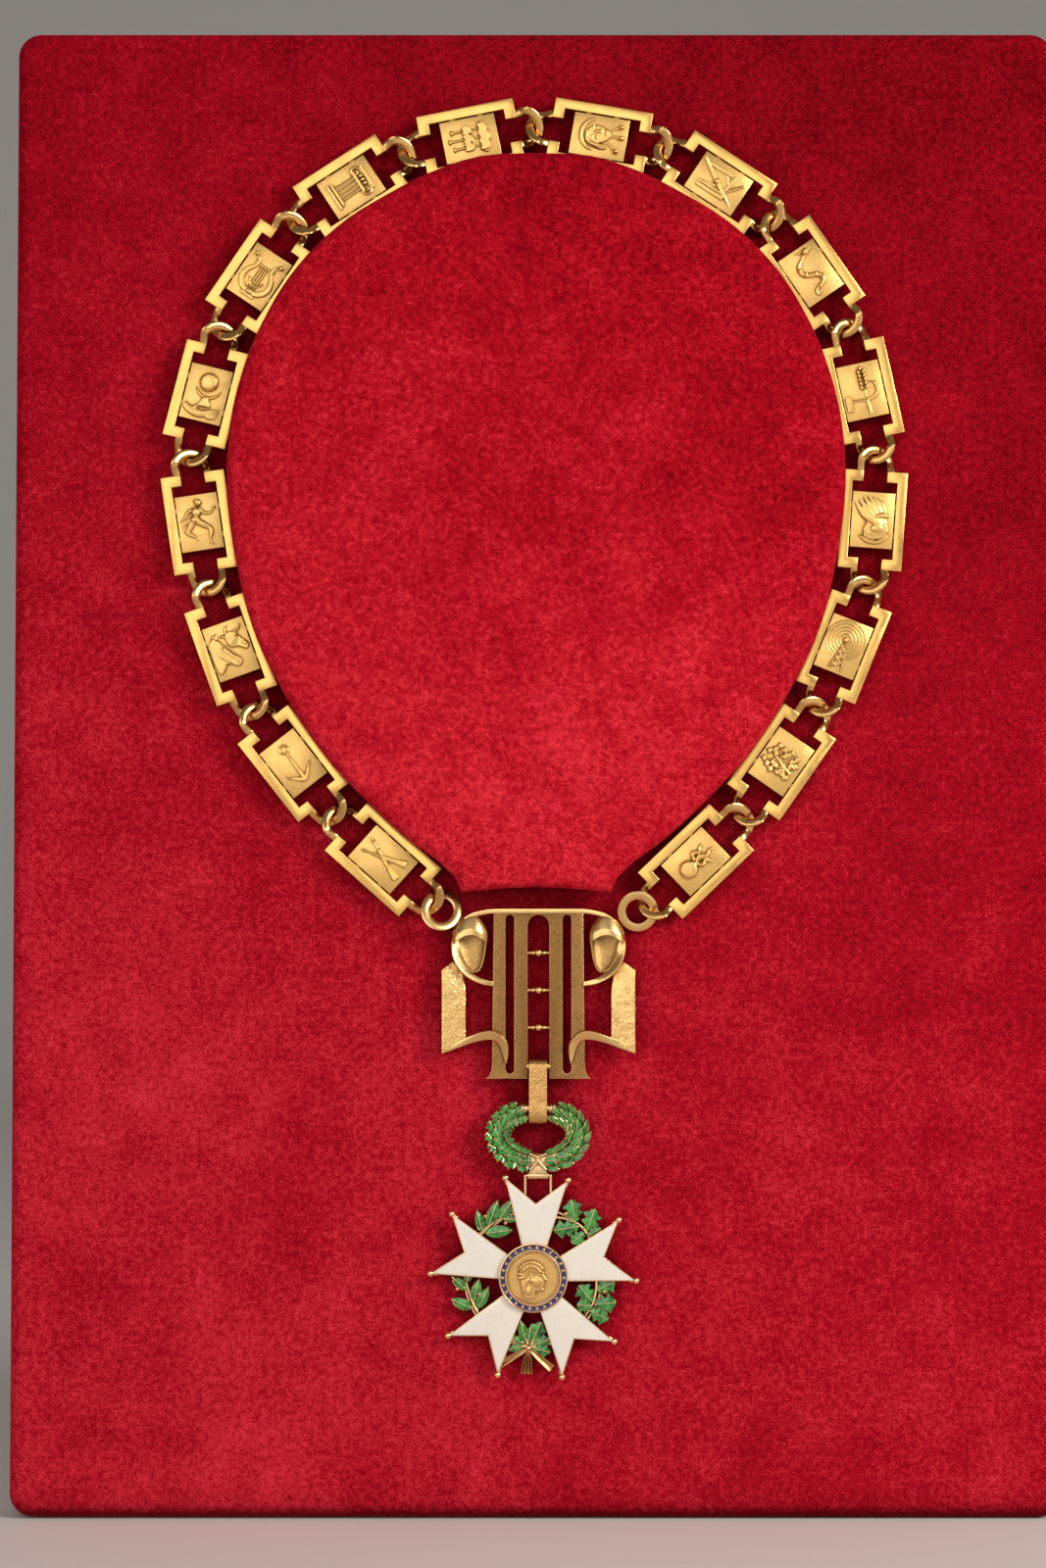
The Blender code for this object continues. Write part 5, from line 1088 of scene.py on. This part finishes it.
def enamel_leaf(length, width, lobed, curl):
    """One leaf along +X from its root. Sizes in millimetres."""
    last = len(LEAF_COLUMNS) - 1

    def spot(s, t):
        if lobed:
            swell = 0.30 + 0.70 * math.sin(math.pi * min(s * 0.78 + 0.04, 1))
            taper = 1 - max(s - 0.82, 0) / 0.18 * 0.6
            waves = 0.84 + 0.24 * math.cos(2 * math.pi * (3.2 * s - 0.22))
            profile = swell * taper * waves * min(s * 9, 1) * min((1 - s) * 14, 1)
        else:
            profile = math.sin(math.pi * s ** 0.86) ** 0.8
        half = max(profile, 0.0) * width / 2
        column = LEAF_COLUMNS[round(t * last)]
        share = abs(column)
        if share == 1.0:
            across = half
        elif share > 0.5:
            across = max(half - LEAF_EDGE, 0.0) + (share - 0.62) * 1.1
        else:
            across = share * 1.2
        lift = LEAF_HEIGHTS[round(t * last)] * min(1.0, half / 0.5)
        lift += 0.24 * (1 - share * share) * min(1, half)
        lift += curl * length * math.sin(math.pi * s) * 0.5
        return Vector((s * length, math.copysign(min(across, half), column), lift)) * MM

    made = painted(bent(30 if lobed else 14, last, spot), trim_gold, green_enamel)
    shares = made.data.uv_layers[0].data
    for face in made.data.polygons:
        column = int(sum(shares[i].uv.y for i in face.loop_indices) / len(face.loop_indices) * last)
        face.material_index = 1 if column in ENAMEL_COLUMNS else 0
    modify(made, "SOLIDIFY", thickness=LEAF_THICKNESS * MM, offset=-1)
    return made


# The wreath: two enamelled branches, oak on the left and laurel on the right, bound into an oval with crossed
# stems. It hangs by a bare stem in the bail, and a hinge tube is soldered under it.
WREATH_WIDTH, WREATH_HEIGHT, WREATH_BAND, WREATH_ENDS = 0.0385, 0.0256, 0.0088, 0.0052
CORE_SWEEP, CORE_RADIUS, CORE_RISE = 304, 3.3 * MM, 1.5 * MM
LEAVES_A_SIDE, FIRST_LEAF, LEAF_SPACING = 9, 9, 15.8
HINGE_RADIUS, HINGE_LENGTH, HINGE_DROP, PIN_RADIUS = 0.00145, 0.0078, 0.0026, 0.00055
OVAL_X, OVAL_Y = (WREATH_WIDTH - WREATH_BAND) / 2, (WREATH_HEIGHT - WREATH_ENDS) / 2
HINGE_Y = -OVAL_Y - WREATH_HEIGHT / 2 - HINGE_DROP
HINGE_Z = STEM_Z + HINGE_Y
TUBE_PROFILE = ((0.62, -1), (0.93, -1), (1, -0.9), (1, 0.9), (0.93, 1), (0.62, 1), (0.62, 0.9),
                (0.62, -0.9))


def on_oval(degrees, outwards):
    """A place this far outside the oval's middle line."""
    out = ray(degrees)
    return Vector((OVAL_X * out.x, OVAL_Y * (out.y - 1))) + out * outwards


def core(s, t):
    """The solid band of the oval, open at the top where the stem is bare."""
    around = 2 * math.pi * t
    spot = on_oval(-90 + (s - 0.5) * CORE_SWEEP, CORE_RADIUS * math.cos(around))
    return Vector((*spot, CORE_RISE * math.sin(around) - 0.2 * MM))


def rod(start, end, radius, made, sides=16):
    """A round rod between two points, in metres."""
    start, end = Vector(start), Vector(end)
    bpy.ops.mesh.primitive_cylinder_add(vertices=sides, radius=radius, depth=(end - start).length)
    turn = (end - start).to_track_quat("Z", "Y").to_matrix().to_4x4()
    return painted(move(bpy.context.object, Matrix.Translation((start + end) / 2) @ turn), made)


def mm(x, y, z):
    """A place given in millimetres."""
    return Vector((x, y, z)) * MM


def lathe(profile, steps=96, closed=True):
    """A shape turned from its profile of (radius, height) points."""
    ring = list(profile) + [profile[0]] if closed else list(profile)
    count = len(ring) - 1

    def spot(s, t):
        radius, height = ring[round(t * count)]
        return Vector((radius * math.cos(2 * math.pi * s), radius * math.sin(2 * math.pi * s), height))
    return bent(steps, count, spot)


parts = [painted(bent(60, 12, core), trim_gold)]
oak = enamel_leaf(7.0, 5.4, True, 0.10)
laurel = enamel_leaf(7.6, 4.3, False, 0.10)
for way, pattern in ((-1, oak), (1, laurel)):
    for k in range(LEAVES_A_SIDE):
        turn = -90 + way * (FIRST_LEAF + LEAF_SPACING * k)
        tangent = math.degrees(math.atan2(OVAL_Y * ray(turn).x * way, -OVAL_X * ray(turn).y * way))
        scale = 0.80 if k in (0, LEAVES_A_SIDE - 1) else 0.95
        for row, shift, lift, splay, slope in ((-1, -2.5, 0.35, 20, -13), (1, 1.9, 0.35, 15, -13),
                                               (0, -0.2, 1.15, 0, -8)):
            spot = on_oval(turn, shift * MM)
            place = Matrix.Translation((*spot, lift * MM))
            for axis, angle in (("Z", tangent - way * row * splay), ("Y", slope), ("X", -way * row * 26)):
                place = place @ Matrix.Rotation(math.radians(angle), 4, axis)
            parts.append(copy_of(pattern, place @ Matrix.Scale(scale, 4)))
        if way > 0 and k % 2:
            parts.append(ball(*on_oval(turn, 1.0 * MM), 1.9 * MM, 0.55 * MM, berry_gold))
for pattern in (oak, laurel):
    bpy.data.objects.remove(pattern)
parts.append(rod(mm(-7.2, 0, 0), mm(7.2, 0, 0), 1.45 * MM, trim_gold, 20))
for way in (-1, 1):
    for x, size in ((4.5, 2.1), (5.5, 2.3)):
        parts.append(rod(mm(way * x, -0.2, 0), mm(way * (x + 0.7), -0.3, 0), size * MM, trim_gold, 20))
        soften(parts[-1], 0.00018, 2, 50)
    parts.append(rod(mm(way * -0.6, -19.0, 2.0), mm(way * 3.0, -23.2, 1.9), 0.55 * MM, trim_gold))
    parts.append(rod(mm(way * 0.6, -18.6, 2.4), mm(way * -3.2, -17.2, 2.0), 0.5 * MM, trim_gold))
foot = HINGE_Y + 0.6 * MM
plate = blank([(-1.2 * MM, -19.4 * MM), (-3.7 * MM, foot), (3.7 * MM, foot), (1.2 * MM, -19.4 * MM)],
              -0.9 * MM, 1.1 * MM)
soften(painted(plate, trim_gold), 0.00025, 2, 40)
tube = lathe([(radius * HINGE_RADIUS, length * HINGE_LENGTH / 2) for radius, length in TUBE_PROFILE], 40)
sideways = Matrix(((0, 0, 1, 0), (1, 0, 0, HINGE_Y), (0, 1, 0, 0), (0, 0, 0, 1)))
wreath = join("wreath", *parts, plate, painted(move(tube, sideways), trim_gold))
move(wreath, facing(BAIL_X, STEM_Z))
finish(wreath, "oak_and_laurel_wreath", "wreath", ("wreath",), 40)

# The star: five double-pointed arms in white enamel with gold edges and balls, soldered round a core. A
# square wire frame behind the upper arm passes through the wreath's hinge tube.
STAR_X, STAR_DROP, STAR_TURN = -0.0011, 0.0386, -2.0
ARM_REACH, ARM_NOTCH, ARM_SPREAD, ARM_BASE, ARM_THICKNESS = 0.0392, 0.0280, 0.0240, 0.0094, 0.0020
BALL_RADIUS, MEDALLION_RADIUS, DISC_RADIUS = 0.0014, 0.0132, 0.0097
NECK_RADIUS, NECK_START, NECK_END = 0.00072, 0.0026, 0.0011
FRAME_WIDTH, FRAME_RISE = 0.0108, 0.0040
STAR_Z = HINGE_Z - STAR_DROP

tip = math.sqrt(ARM_REACH ** 2 - (ARM_SPREAD / 2) ** 2)
base, root = ARM_BASE * 0.43, DISC_RADIUS * 0.9
outline = [(-base, root), (base, root), (ARM_SPREAD / 2, tip), (0.0, ARM_NOTCH), (-ARM_SPREAD / 2, tip)]
arm = painted(blank(outline, -ARM_THICKNESS / 2, ARM_THICKNESS / 2), trim_gold, white_enamel)
soften(arm, 0.00016, 2, 40)
for way in (1, -1):
    pick(arm, "FACE", lambda face: face.normal.z * way > 0.99)
    for inset, rise in ((0.00014, 0.0), (0.00006, -0.00010)):
        bpy.ops.mesh.inset(thickness=inset, depth=rise)
    arm.active_material_index = 1
    bpy.ops.object.material_slot_assign()
    for inset, rise in ((0.00030, 0.00016), (0.00080, 0.00008)):
        bpy.ops.mesh.inset(thickness=inset, depth=rise)
    close()
arm_parts = [arm]
for x in (-ARM_SPREAD / 2, ARM_SPREAD / 2):
    end = Vector((x, tip, 0))
    back = end.normalized()
    arm_parts.append(ball(*end, BALL_RADIUS, trim_gold, 20, 12))
    arm_parts.append(rod(end - back * NECK_START, end - back * NECK_END, NECK_RADIUS, trim_gold, 14))
arm = join("arm", *arm_parts)
parts = [copy_of(arm, Matrix.Rotation(math.radians(STAR_TURN + 72 * i), 4, "Z")) for i in range(5)]
bpy.data.objects.remove(arm)
parts.append(rod((0, 0, -ARM_THICKNESS * 0.45), (0, 0, ARM_THICKNESS * 0.42), MEDALLION_RADIUS * 0.97,
                 trim_gold, 64))
soften(parts[-1], 0.0002, 2, 50)
middle, reach, foot = BAIL_X - STAR_X, FRAME_WIDTH / 2 - PIN_RADIUS, ARM_NOTCH - FRAME_RISE
bends = [(middle - reach, foot), (middle - reach, STAR_DROP), (middle + reach, STAR_DROP),
         (middle + reach, foot)]
for start, end in zip(bends, bends[1:]):
    parts.append(rod((*start, 0), (*end, 0), PIN_RADIUS, trim_gold, 12))
parts += [ball(x, y, 0, PIN_RADIUS * 1.02, trim_gold) for x, y in bends[1:3]]
cross = join("cross", *parts)
move(cross, facing(STAR_X, STAR_Z))
finish(cross, "enamelled_star", "star", ("star_cross",), 40)

# The sprays between the arms, in green enamel edged with gold: laurel on the left, oak on the right, and
# both under a gold bow at the bottom. They lie behind the arms on a gold ring. Their places are in
# millimetres from the star's middle.
SPRAY_LIFT = -1.95
STEM_STEPS = 12
OAK_FULLNESS, LAUREL_FULLNESS = 1.5, 1.15
SPRAYS = (
    # lobed, stem, leaves (root, tip, width), berries
    (False, [(-20.6, 15.4), (-16.6, 19.4), (-11.6, 22.4), (-6.6, 24.2)],
     [((-19.2, 16.6), (-21.6, 25.6), 3.4), ((-17.4, 18.6), (-13.4, 29.4), 4.1),
      ((-13.2, 21.6), (-7.6, 29.6), 3.9), ((-18.6, 16.6), (-7.4, 17.9), 4.3),
      ((-12.0, 22.2), (-5.0, 21.6), 2.6)], [(-18.4, 23.0), (-10.6, 20.4)]),
    (False, [(-20.4, -14.6), (-23.2, -9.6), (-25.0, -4.0), (-26.4, 1.2)],
     [((-23.2, -12.0), (-31.6, -8.2), 4.0), ((-22.8, -9.8), (-20.6, -0.4), 3.7),
      ((-21.4, -12.4), (-16.8, -3.4), 3.7), ((-25.2, -5.0), (-31.4, 0.4), 3.4),
      ((-25.6, -2.4), (-23.2, 4.0), 2.8)], [(-29.0, -4.6), (-20.6, -6.6)]),
    (True, [(8.6, 22.6), (14.0, 21.6), (19.0, 18.6), (21.8, 13.8)],
     [((16.0, 20.6), (14.4, 29.6), 5.0), ((20.4, 17.2), (23.6, 26.0), 4.8),
      ((17.6, 19.2), (7.4, 17.6), 4.6), ((19.6, 16.8), (14.4, 12.6), 4.0),
      ((20.8, 15.6), (25.8, 18.6), 3.6)], [(12.4, 24.0)]),
    (True, [(24.2, 1.4), (24.0, -4.6), (22.8, -10.0), (19.6, -15.2)],
     [((22.6, -9.6), (17.2, -3.0), 5.0), ((24.0, -5.2), (31.2, -1.6), 4.8),
      ((23.0, -10.4), (31.8, -9.6), 5.0), ((21.4, -12.6), (28.8, -16.4), 4.4),
      ((22.2, -11.0), (16.4, -10.6), 4.2)], [(27.0, -5.6)]),
    (False, [(-2.0, -25.6), (-3.4, -22.0), (-5.4, -18.6)],
     [((-2.6, -25.4), (-4.9, -16.2), 3.5), ((-2.0, -25.0), (-0.9, -18.2), 2.8),
      ((-3.2, -26.2), (-10.6, -27.6), 2.9), ((-3.0, -25.8), (-9.0, -21.8), 2.8)], []),
    (True, [(-0.8, -25.8), (1.4, -22.0), (3.4, -18.4)],
     [((-1.2, -25.6), (3.2, -16.8), 4.4), ((-0.6, -26.0), (6.8, -23.4), 3.6),
      ((-0.8, -26.6), (6.8, -28.6), 3.4)], []),
)
KNOT = Vector((-1.9, -26.9))
BOW_ENDS = ((-13.6, -33.6, 3.2, 1), (7.0, -34.8, 3.2, 1), (-2.6, -36.8, 4.4, 3))
BOW_LUMPS = ((-1.9, -26.9, 2.4, 2.0), (-3.6, -26.2, 2.8, 1.3), (-0.2, -26.4, 2.8, 1.3))


def spray_place(spot, lift=0.0):
    return mm(spot[0], spot[1], SPRAY_LIFT + lift)


parts = []
for lobed, stem, leaves, berries in SPRAYS:
    path = [(*point, 0) for point in stem]
    for k, (root, end, width) in enumerate(leaves):
        span = Vector(end) - Vector(root)
        fullness = OAK_FULLNESS if lobed else LAUREL_FULLNESS
        turn = Matrix.Rotation(math.atan2(span.y, span.x), 4, "Z")
        place = Matrix.Translation(spray_place(root, 0.05 * k)) @ turn
        parts.append(move(enamel_leaf(span.length, width * fullness, lobed, 0.05), place))
        twig = along(path, min(0.3 + 0.15 * k, 1))
        if (twig.xy - Vector(root)).length > 0.3:
            parts.append(rod(spray_place(root), spray_place(twig), 0.28 * MM, trim_gold, 8))
        else:
            parts.append(rod(spray_place(root, -0.1), spray_place(root, 0.2), 0.3 * MM, trim_gold, 8))
    for i in range(STEM_STEPS):
        start, end = along(path, i / STEM_STEPS), along(path, (i + 1) / STEM_STEPS)
        parts.append(rod(spray_place(start, 0.15), spray_place(end, 0.15), (0.55 - 0.02 * i) * MM,
                         trim_gold, 8))
    parts += [ball(*spray_place(berry, 0.2), 0.85 * MM, berry_gold) for berry in berries]
parts.append(painted(lathe([(0.0259, -0.0026), (0.0265, -0.0026), (0.0265, -0.0020), (0.0259, -0.0020)]),
                     trim_gold))
for x, y, width, pleats in BOW_ENDS:
    line = Vector((x, y)) - KNOT
    across = Vector((-line.y, line.x)).normalized()

    def ribbon(s, t):
        """A pleated end of the bow, running out from the knot and widening."""
        flat = KNOT + line * s + across * (t - 0.5) * (1.1 + (width - 1.1) * s ** 0.8)
        pleat = 0.35 * math.cos(2 * math.pi * pleats * t) * min(1, s * 2)
        return spray_place(flat, pleat + 0.3 * math.sin(5.5 * s) + 0.25)
    parts.append(painted(bent(14, 12, ribbon, 0.3 * MM), bow_gold))
for x, y, wide, tall in BOW_LUMPS:
    lump = mound(x * MM, y * MM, wide * MM, tall * MM, 0, 0.6, (SPRAY_LIFT + 0.5) * MM)
    parts.append(painted(lump, trim_gold))
branches = join("branches", *parts)
move(branches, facing(STAR_X, STAR_Z))
finish(branches, "enamelled_sprays", "star", ("star_branches",), 40)

# The medallion: a violet-blue enamelled ring with gold rims and a running ornament of small leaves, round a
# gold disc with a laurelled head in profile. Both profiles are (radius, height over the star's front).
MEDALLION_LOW = ARM_THICKNESS / 2 + GAP
ENAMEL_INNER, ENAMEL_OUTER = 0.01072, 0.01250
BAND_PROFILE = (
    (DISC_RADIUS + GAP, 0.0), (MEDALLION_RADIUS, 0.0), (MEDALLION_RADIUS, 0.0007), (0.01305, 0.0010),
    (0.01275, 0.00108), (ENAMEL_OUTER, 0.00085), (0.01235, 0.00078), (0.01165, 0.00090), (0.01090, 0.00078),
    (ENAMEL_INNER, 0.00085), (0.01050, 0.0011), (0.01022, 0.0011), (DISC_RADIUS + GAP, 0.0009),
)
DISC_FIELD = 0.0008
DISC_PROFILE = (
    (0.0, 0.0), (DISC_RADIUS, 0.0), (DISC_RADIUS, 0.0009), (0.00955, 0.00105), (0.0093, 0.00105),
    (0.0091, DISC_FIELD), (0.0, DISC_FIELD),
)
ORNAMENTS, ORNAMENT_REACH, ORNAMENT_HALF, ORNAMENT_LIFT = 26, 0.01163, 0.00028, 0.00085
HEAD_UNIT, HEAD_ROOT, HEAD_TOP, HEAD_CELL = 0.00095, -0.2, 2.2, 0.13

band = painted(lathe([(radius, MEDALLION_LOW + height) for radius, height in BAND_PROFILE], 112),
               trim_gold, blue_enamel)
for face in band.data.polygons:
    reach = math.hypot(face.center.x, face.center.y)
    if face.normal.z > 0.5 and ENAMEL_INNER < reach < ENAMEL_OUTER:
        face.material_index = 1
parts = [band]
for i in range(ORNAMENTS):
    turn = 360 * i / ORNAMENTS + 83
    for way in (-1, 1):
        x, y = ray(turn, ORNAMENT_REACH + way * ORNAMENT_HALF)
        leaflet = mound(x, y, 1.35 * MM, 0.5 * MM, turn + 90 + way * 24, 0.5, MEDALLION_LOW + ORNAMENT_LIFT)
        parts.append(painted(leaflet, trim_gold))
ring = join("ring", *parts)
move(ring, facing(STAR_X, STAR_Z))
finish(ring, "blue_medallion_ring", "star", ("medallion_ring",), 40)

disc_gold = metal_finish("struck disc gold", (0.84, 0.51, 0.18), (0.13, 0.05, 0.010), rough=0.28, grain=0.4,
                         scale=2600.0, depth=1.0)
disc = lathe([(radius, MEDALLION_LOW + height) for radius, height in DISC_PROFILE], closed=False)
head = [pillow([(2.7, 5.0), (3.6, 3.4), (3.6, 1.7), (4.3, 0.6), (5.3, -0.8), (4.3, -1.4), (4.7, -2.1),
                (4.2, -2.5), (4.5, -3.1), (3.8, -3.7), (4.0, -4.7), (2.8, -5.5), (1.2, -5.0), (0.7, -6.2),
                (0.9, -7.6), (-1.6, -8.3), (-4.2, -7.2), (-3.4, -5.2), (-3.6, -3.2), (-5.0, -1.6),
                (-5.7, 0.8), (-5.0, 3.6), (-2.6, 5.8), (0.4, 6.2)], 1.1, 0.55),
        mound(1.6, -1.6, 4.4, 4.6, 0, 0.20, 0.8), mound(3.7, 2.3, 1.7, 0.9, -10, 0.7, 1.0),
        mound(3.2, 1.2, 1.4, 0.7, 0, 0.8, 1.1),
        stroke([(3.8, 1.6), (5.0, -0.8)], [0.7, 1.3], 0.8, 0.9), mound(4.4, -2.2, 1.1, 0.6, 0, 0.8, 1.0),
        mound(4.2, -3.0, 1.1, 0.6, 0, 0.8, 1.0),
        mound(3.4, -4.4, 1.8, 1.7, 0, 0.6, 0.9), mound(-0.8, -0.9, 1.5, 2.5, 12, 0.7, 1.1),
        mound(-1.6, -5.2, 3.6, 4.6, 0, 0.2, 0.7)]
for i in range(9):
    turn = math.radians(8 + 20 * i)
    start = Vector((-0.8 + 1.5 * math.cos(turn), 1.4 + 1.2 * math.sin(turn)))
    end = Vector((-1.0 + 5.2 * math.cos(turn + 0.35), 0.9 + 5.1 * math.sin(turn + 0.35)))
    middle = (start + end) / 2 + Vector((-math.sin(turn), math.cos(turn))) * 0.7
    head.append(stroke([start, middle, end], [0.6, 1.5, 0.7], 0.8, 1.15))
for i in range(5):
    lock = [(-1.8 - 0.3 * i, -0.6 - 0.5 * i), (-3.6, -1.4 - 0.9 * i), (-5.0 + 0.3 * i, -2.4 - 1.1 * i)]
    head.append(stroke(lock, [1.2, 1.5, 0.7], 0.9, 0.9))
leaf_rows = [arc((-0.9, 1.1), radius, 30, 116) for radius in (3.75, 5.25)]
for i, (inner, outer) in enumerate(zip(*leaf_rows)):
    head.append(mound(*inner, 2.5, 1.0, 150 + 14.5 * i, 0.9, 1.5))
    head.append(mound(*outer, 2.5, 1.0, 90 + 14.5 * i, 0.9, 1.5))
head = relief_of(head, HEAD_ROOT, HEAD_TOP, HEAD_CELL)
move(head, Matrix.Translation((0.0, 0.0, MEDALLION_LOW + DISC_FIELD)) @ Matrix.Scale(HEAD_UNIT, 4))
disc = painted(join("disc", disc, head), disc_gold)
move(disc, facing(STAR_X, STAR_Z))
finish(disc, "gold_medallion_disc", "star", ("medallion_disc",), 40)

# The stage: a pale floor that runs up into a pale wall, a large soft light above on the right, a weak fill
# from the left and a wide panel in front. The camera stands in front of the board, a little below its
# middle, and looks up by 2.3 degrees.
STAGE_HALF_WIDTH, STAGE_FRONT, STAGE_BACK = 14, -8, 3.4
bpy.ops.mesh.primitive_plane_add(size=1)
floor = bpy.context.object
floor.name = "floor"
plan = [(x, y) for y in (STAGE_FRONT, STAGE_BACK) for x in (-STAGE_HALF_WIDTH, STAGE_HALF_WIDTH)]
for vertex, (x, y) in zip(floor.data.vertices, plan):
    vertex.co = (x, y, -BOARD_HEIGHT / 2 - 0.0005)
pick(floor, "EDGE", lambda edge: all(floor.data.vertices[i].co.y > 0 for i in edge.vertices))
extrude(0, 0.4, 5.0)
close()
modify(floor, "BEVEL", width=1.2, segments=16)
bpy.ops.object.shade_smooth()
stage_paint, tree, shader = new_material("pale stage", Roughness=0.85)
grey = noise(tree, add_node(tree, "ShaderNodeTexCoord").outputs["Object"], 3.0, 3.0)
tree.links.new(mixed(tree, grey, (0.78, 0.76, 0.74), (0.82, 0.80, 0.78)), shader.inputs["Base Color"])
painted(floor, stage_paint)


def soft_light(name, at, aim, size, watts, colour):
    bpy.ops.object.light_add(type="AREA", location=at)
    light = bpy.context.object
    light.name = name
    light.data.shape = "RECTANGLE"
    light.data.size, light.data.size_y = size
    light.data.energy = watts
    light.data.color = colour
    light.rotation_euler = (Vector(aim) - Vector(at)).to_track_quat("-Z", "Y").to_euler()


soft_light("key light", (1.25, -1.05, 0.60), (0.0, 0.0, 0.0), (0.55, 0.7), 20, (1.0, 0.965, 0.91))
soft_light("fill light", (-1.3, -1.2, -0.1), (0.0, 0.0, -0.05), (1.0, 1.0), 5, (1.0, 0.93, 0.86))
soft_light("front panel", (-0.40, -2.1, 0.60), (0.0, 0.0, 0.05), (1.8, 1.7), 14, (1.0, 0.97, 0.93))
world = bpy.data.worlds.new("soft room")
bpy.context.scene.world = world
world.use_nodes = True
background = world.node_tree.nodes["Background"]
background.inputs["Color"].default_value = (0.80, 0.76, 0.72, 1)
background.inputs["Strength"].default_value = 0.22

camera_data = bpy.data.cameras.new("camera")
camera_data.sensor_fit = "VERTICAL"
camera_data.sensor_height = 36
camera_data.lens = 72
camera_data.clip_start = 0.01
camera = bpy.data.objects.new("camera", camera_data)
bpy.context.scene.collection.objects.link(camera)
camera.location = (-0.005, -1.2355, -0.0545)
camera.rotation_euler = (math.radians(92.3), 0, 0)
bpy.context.scene.camera = camera
bpy.context.scene.view_settings.view_transform = "Standard"
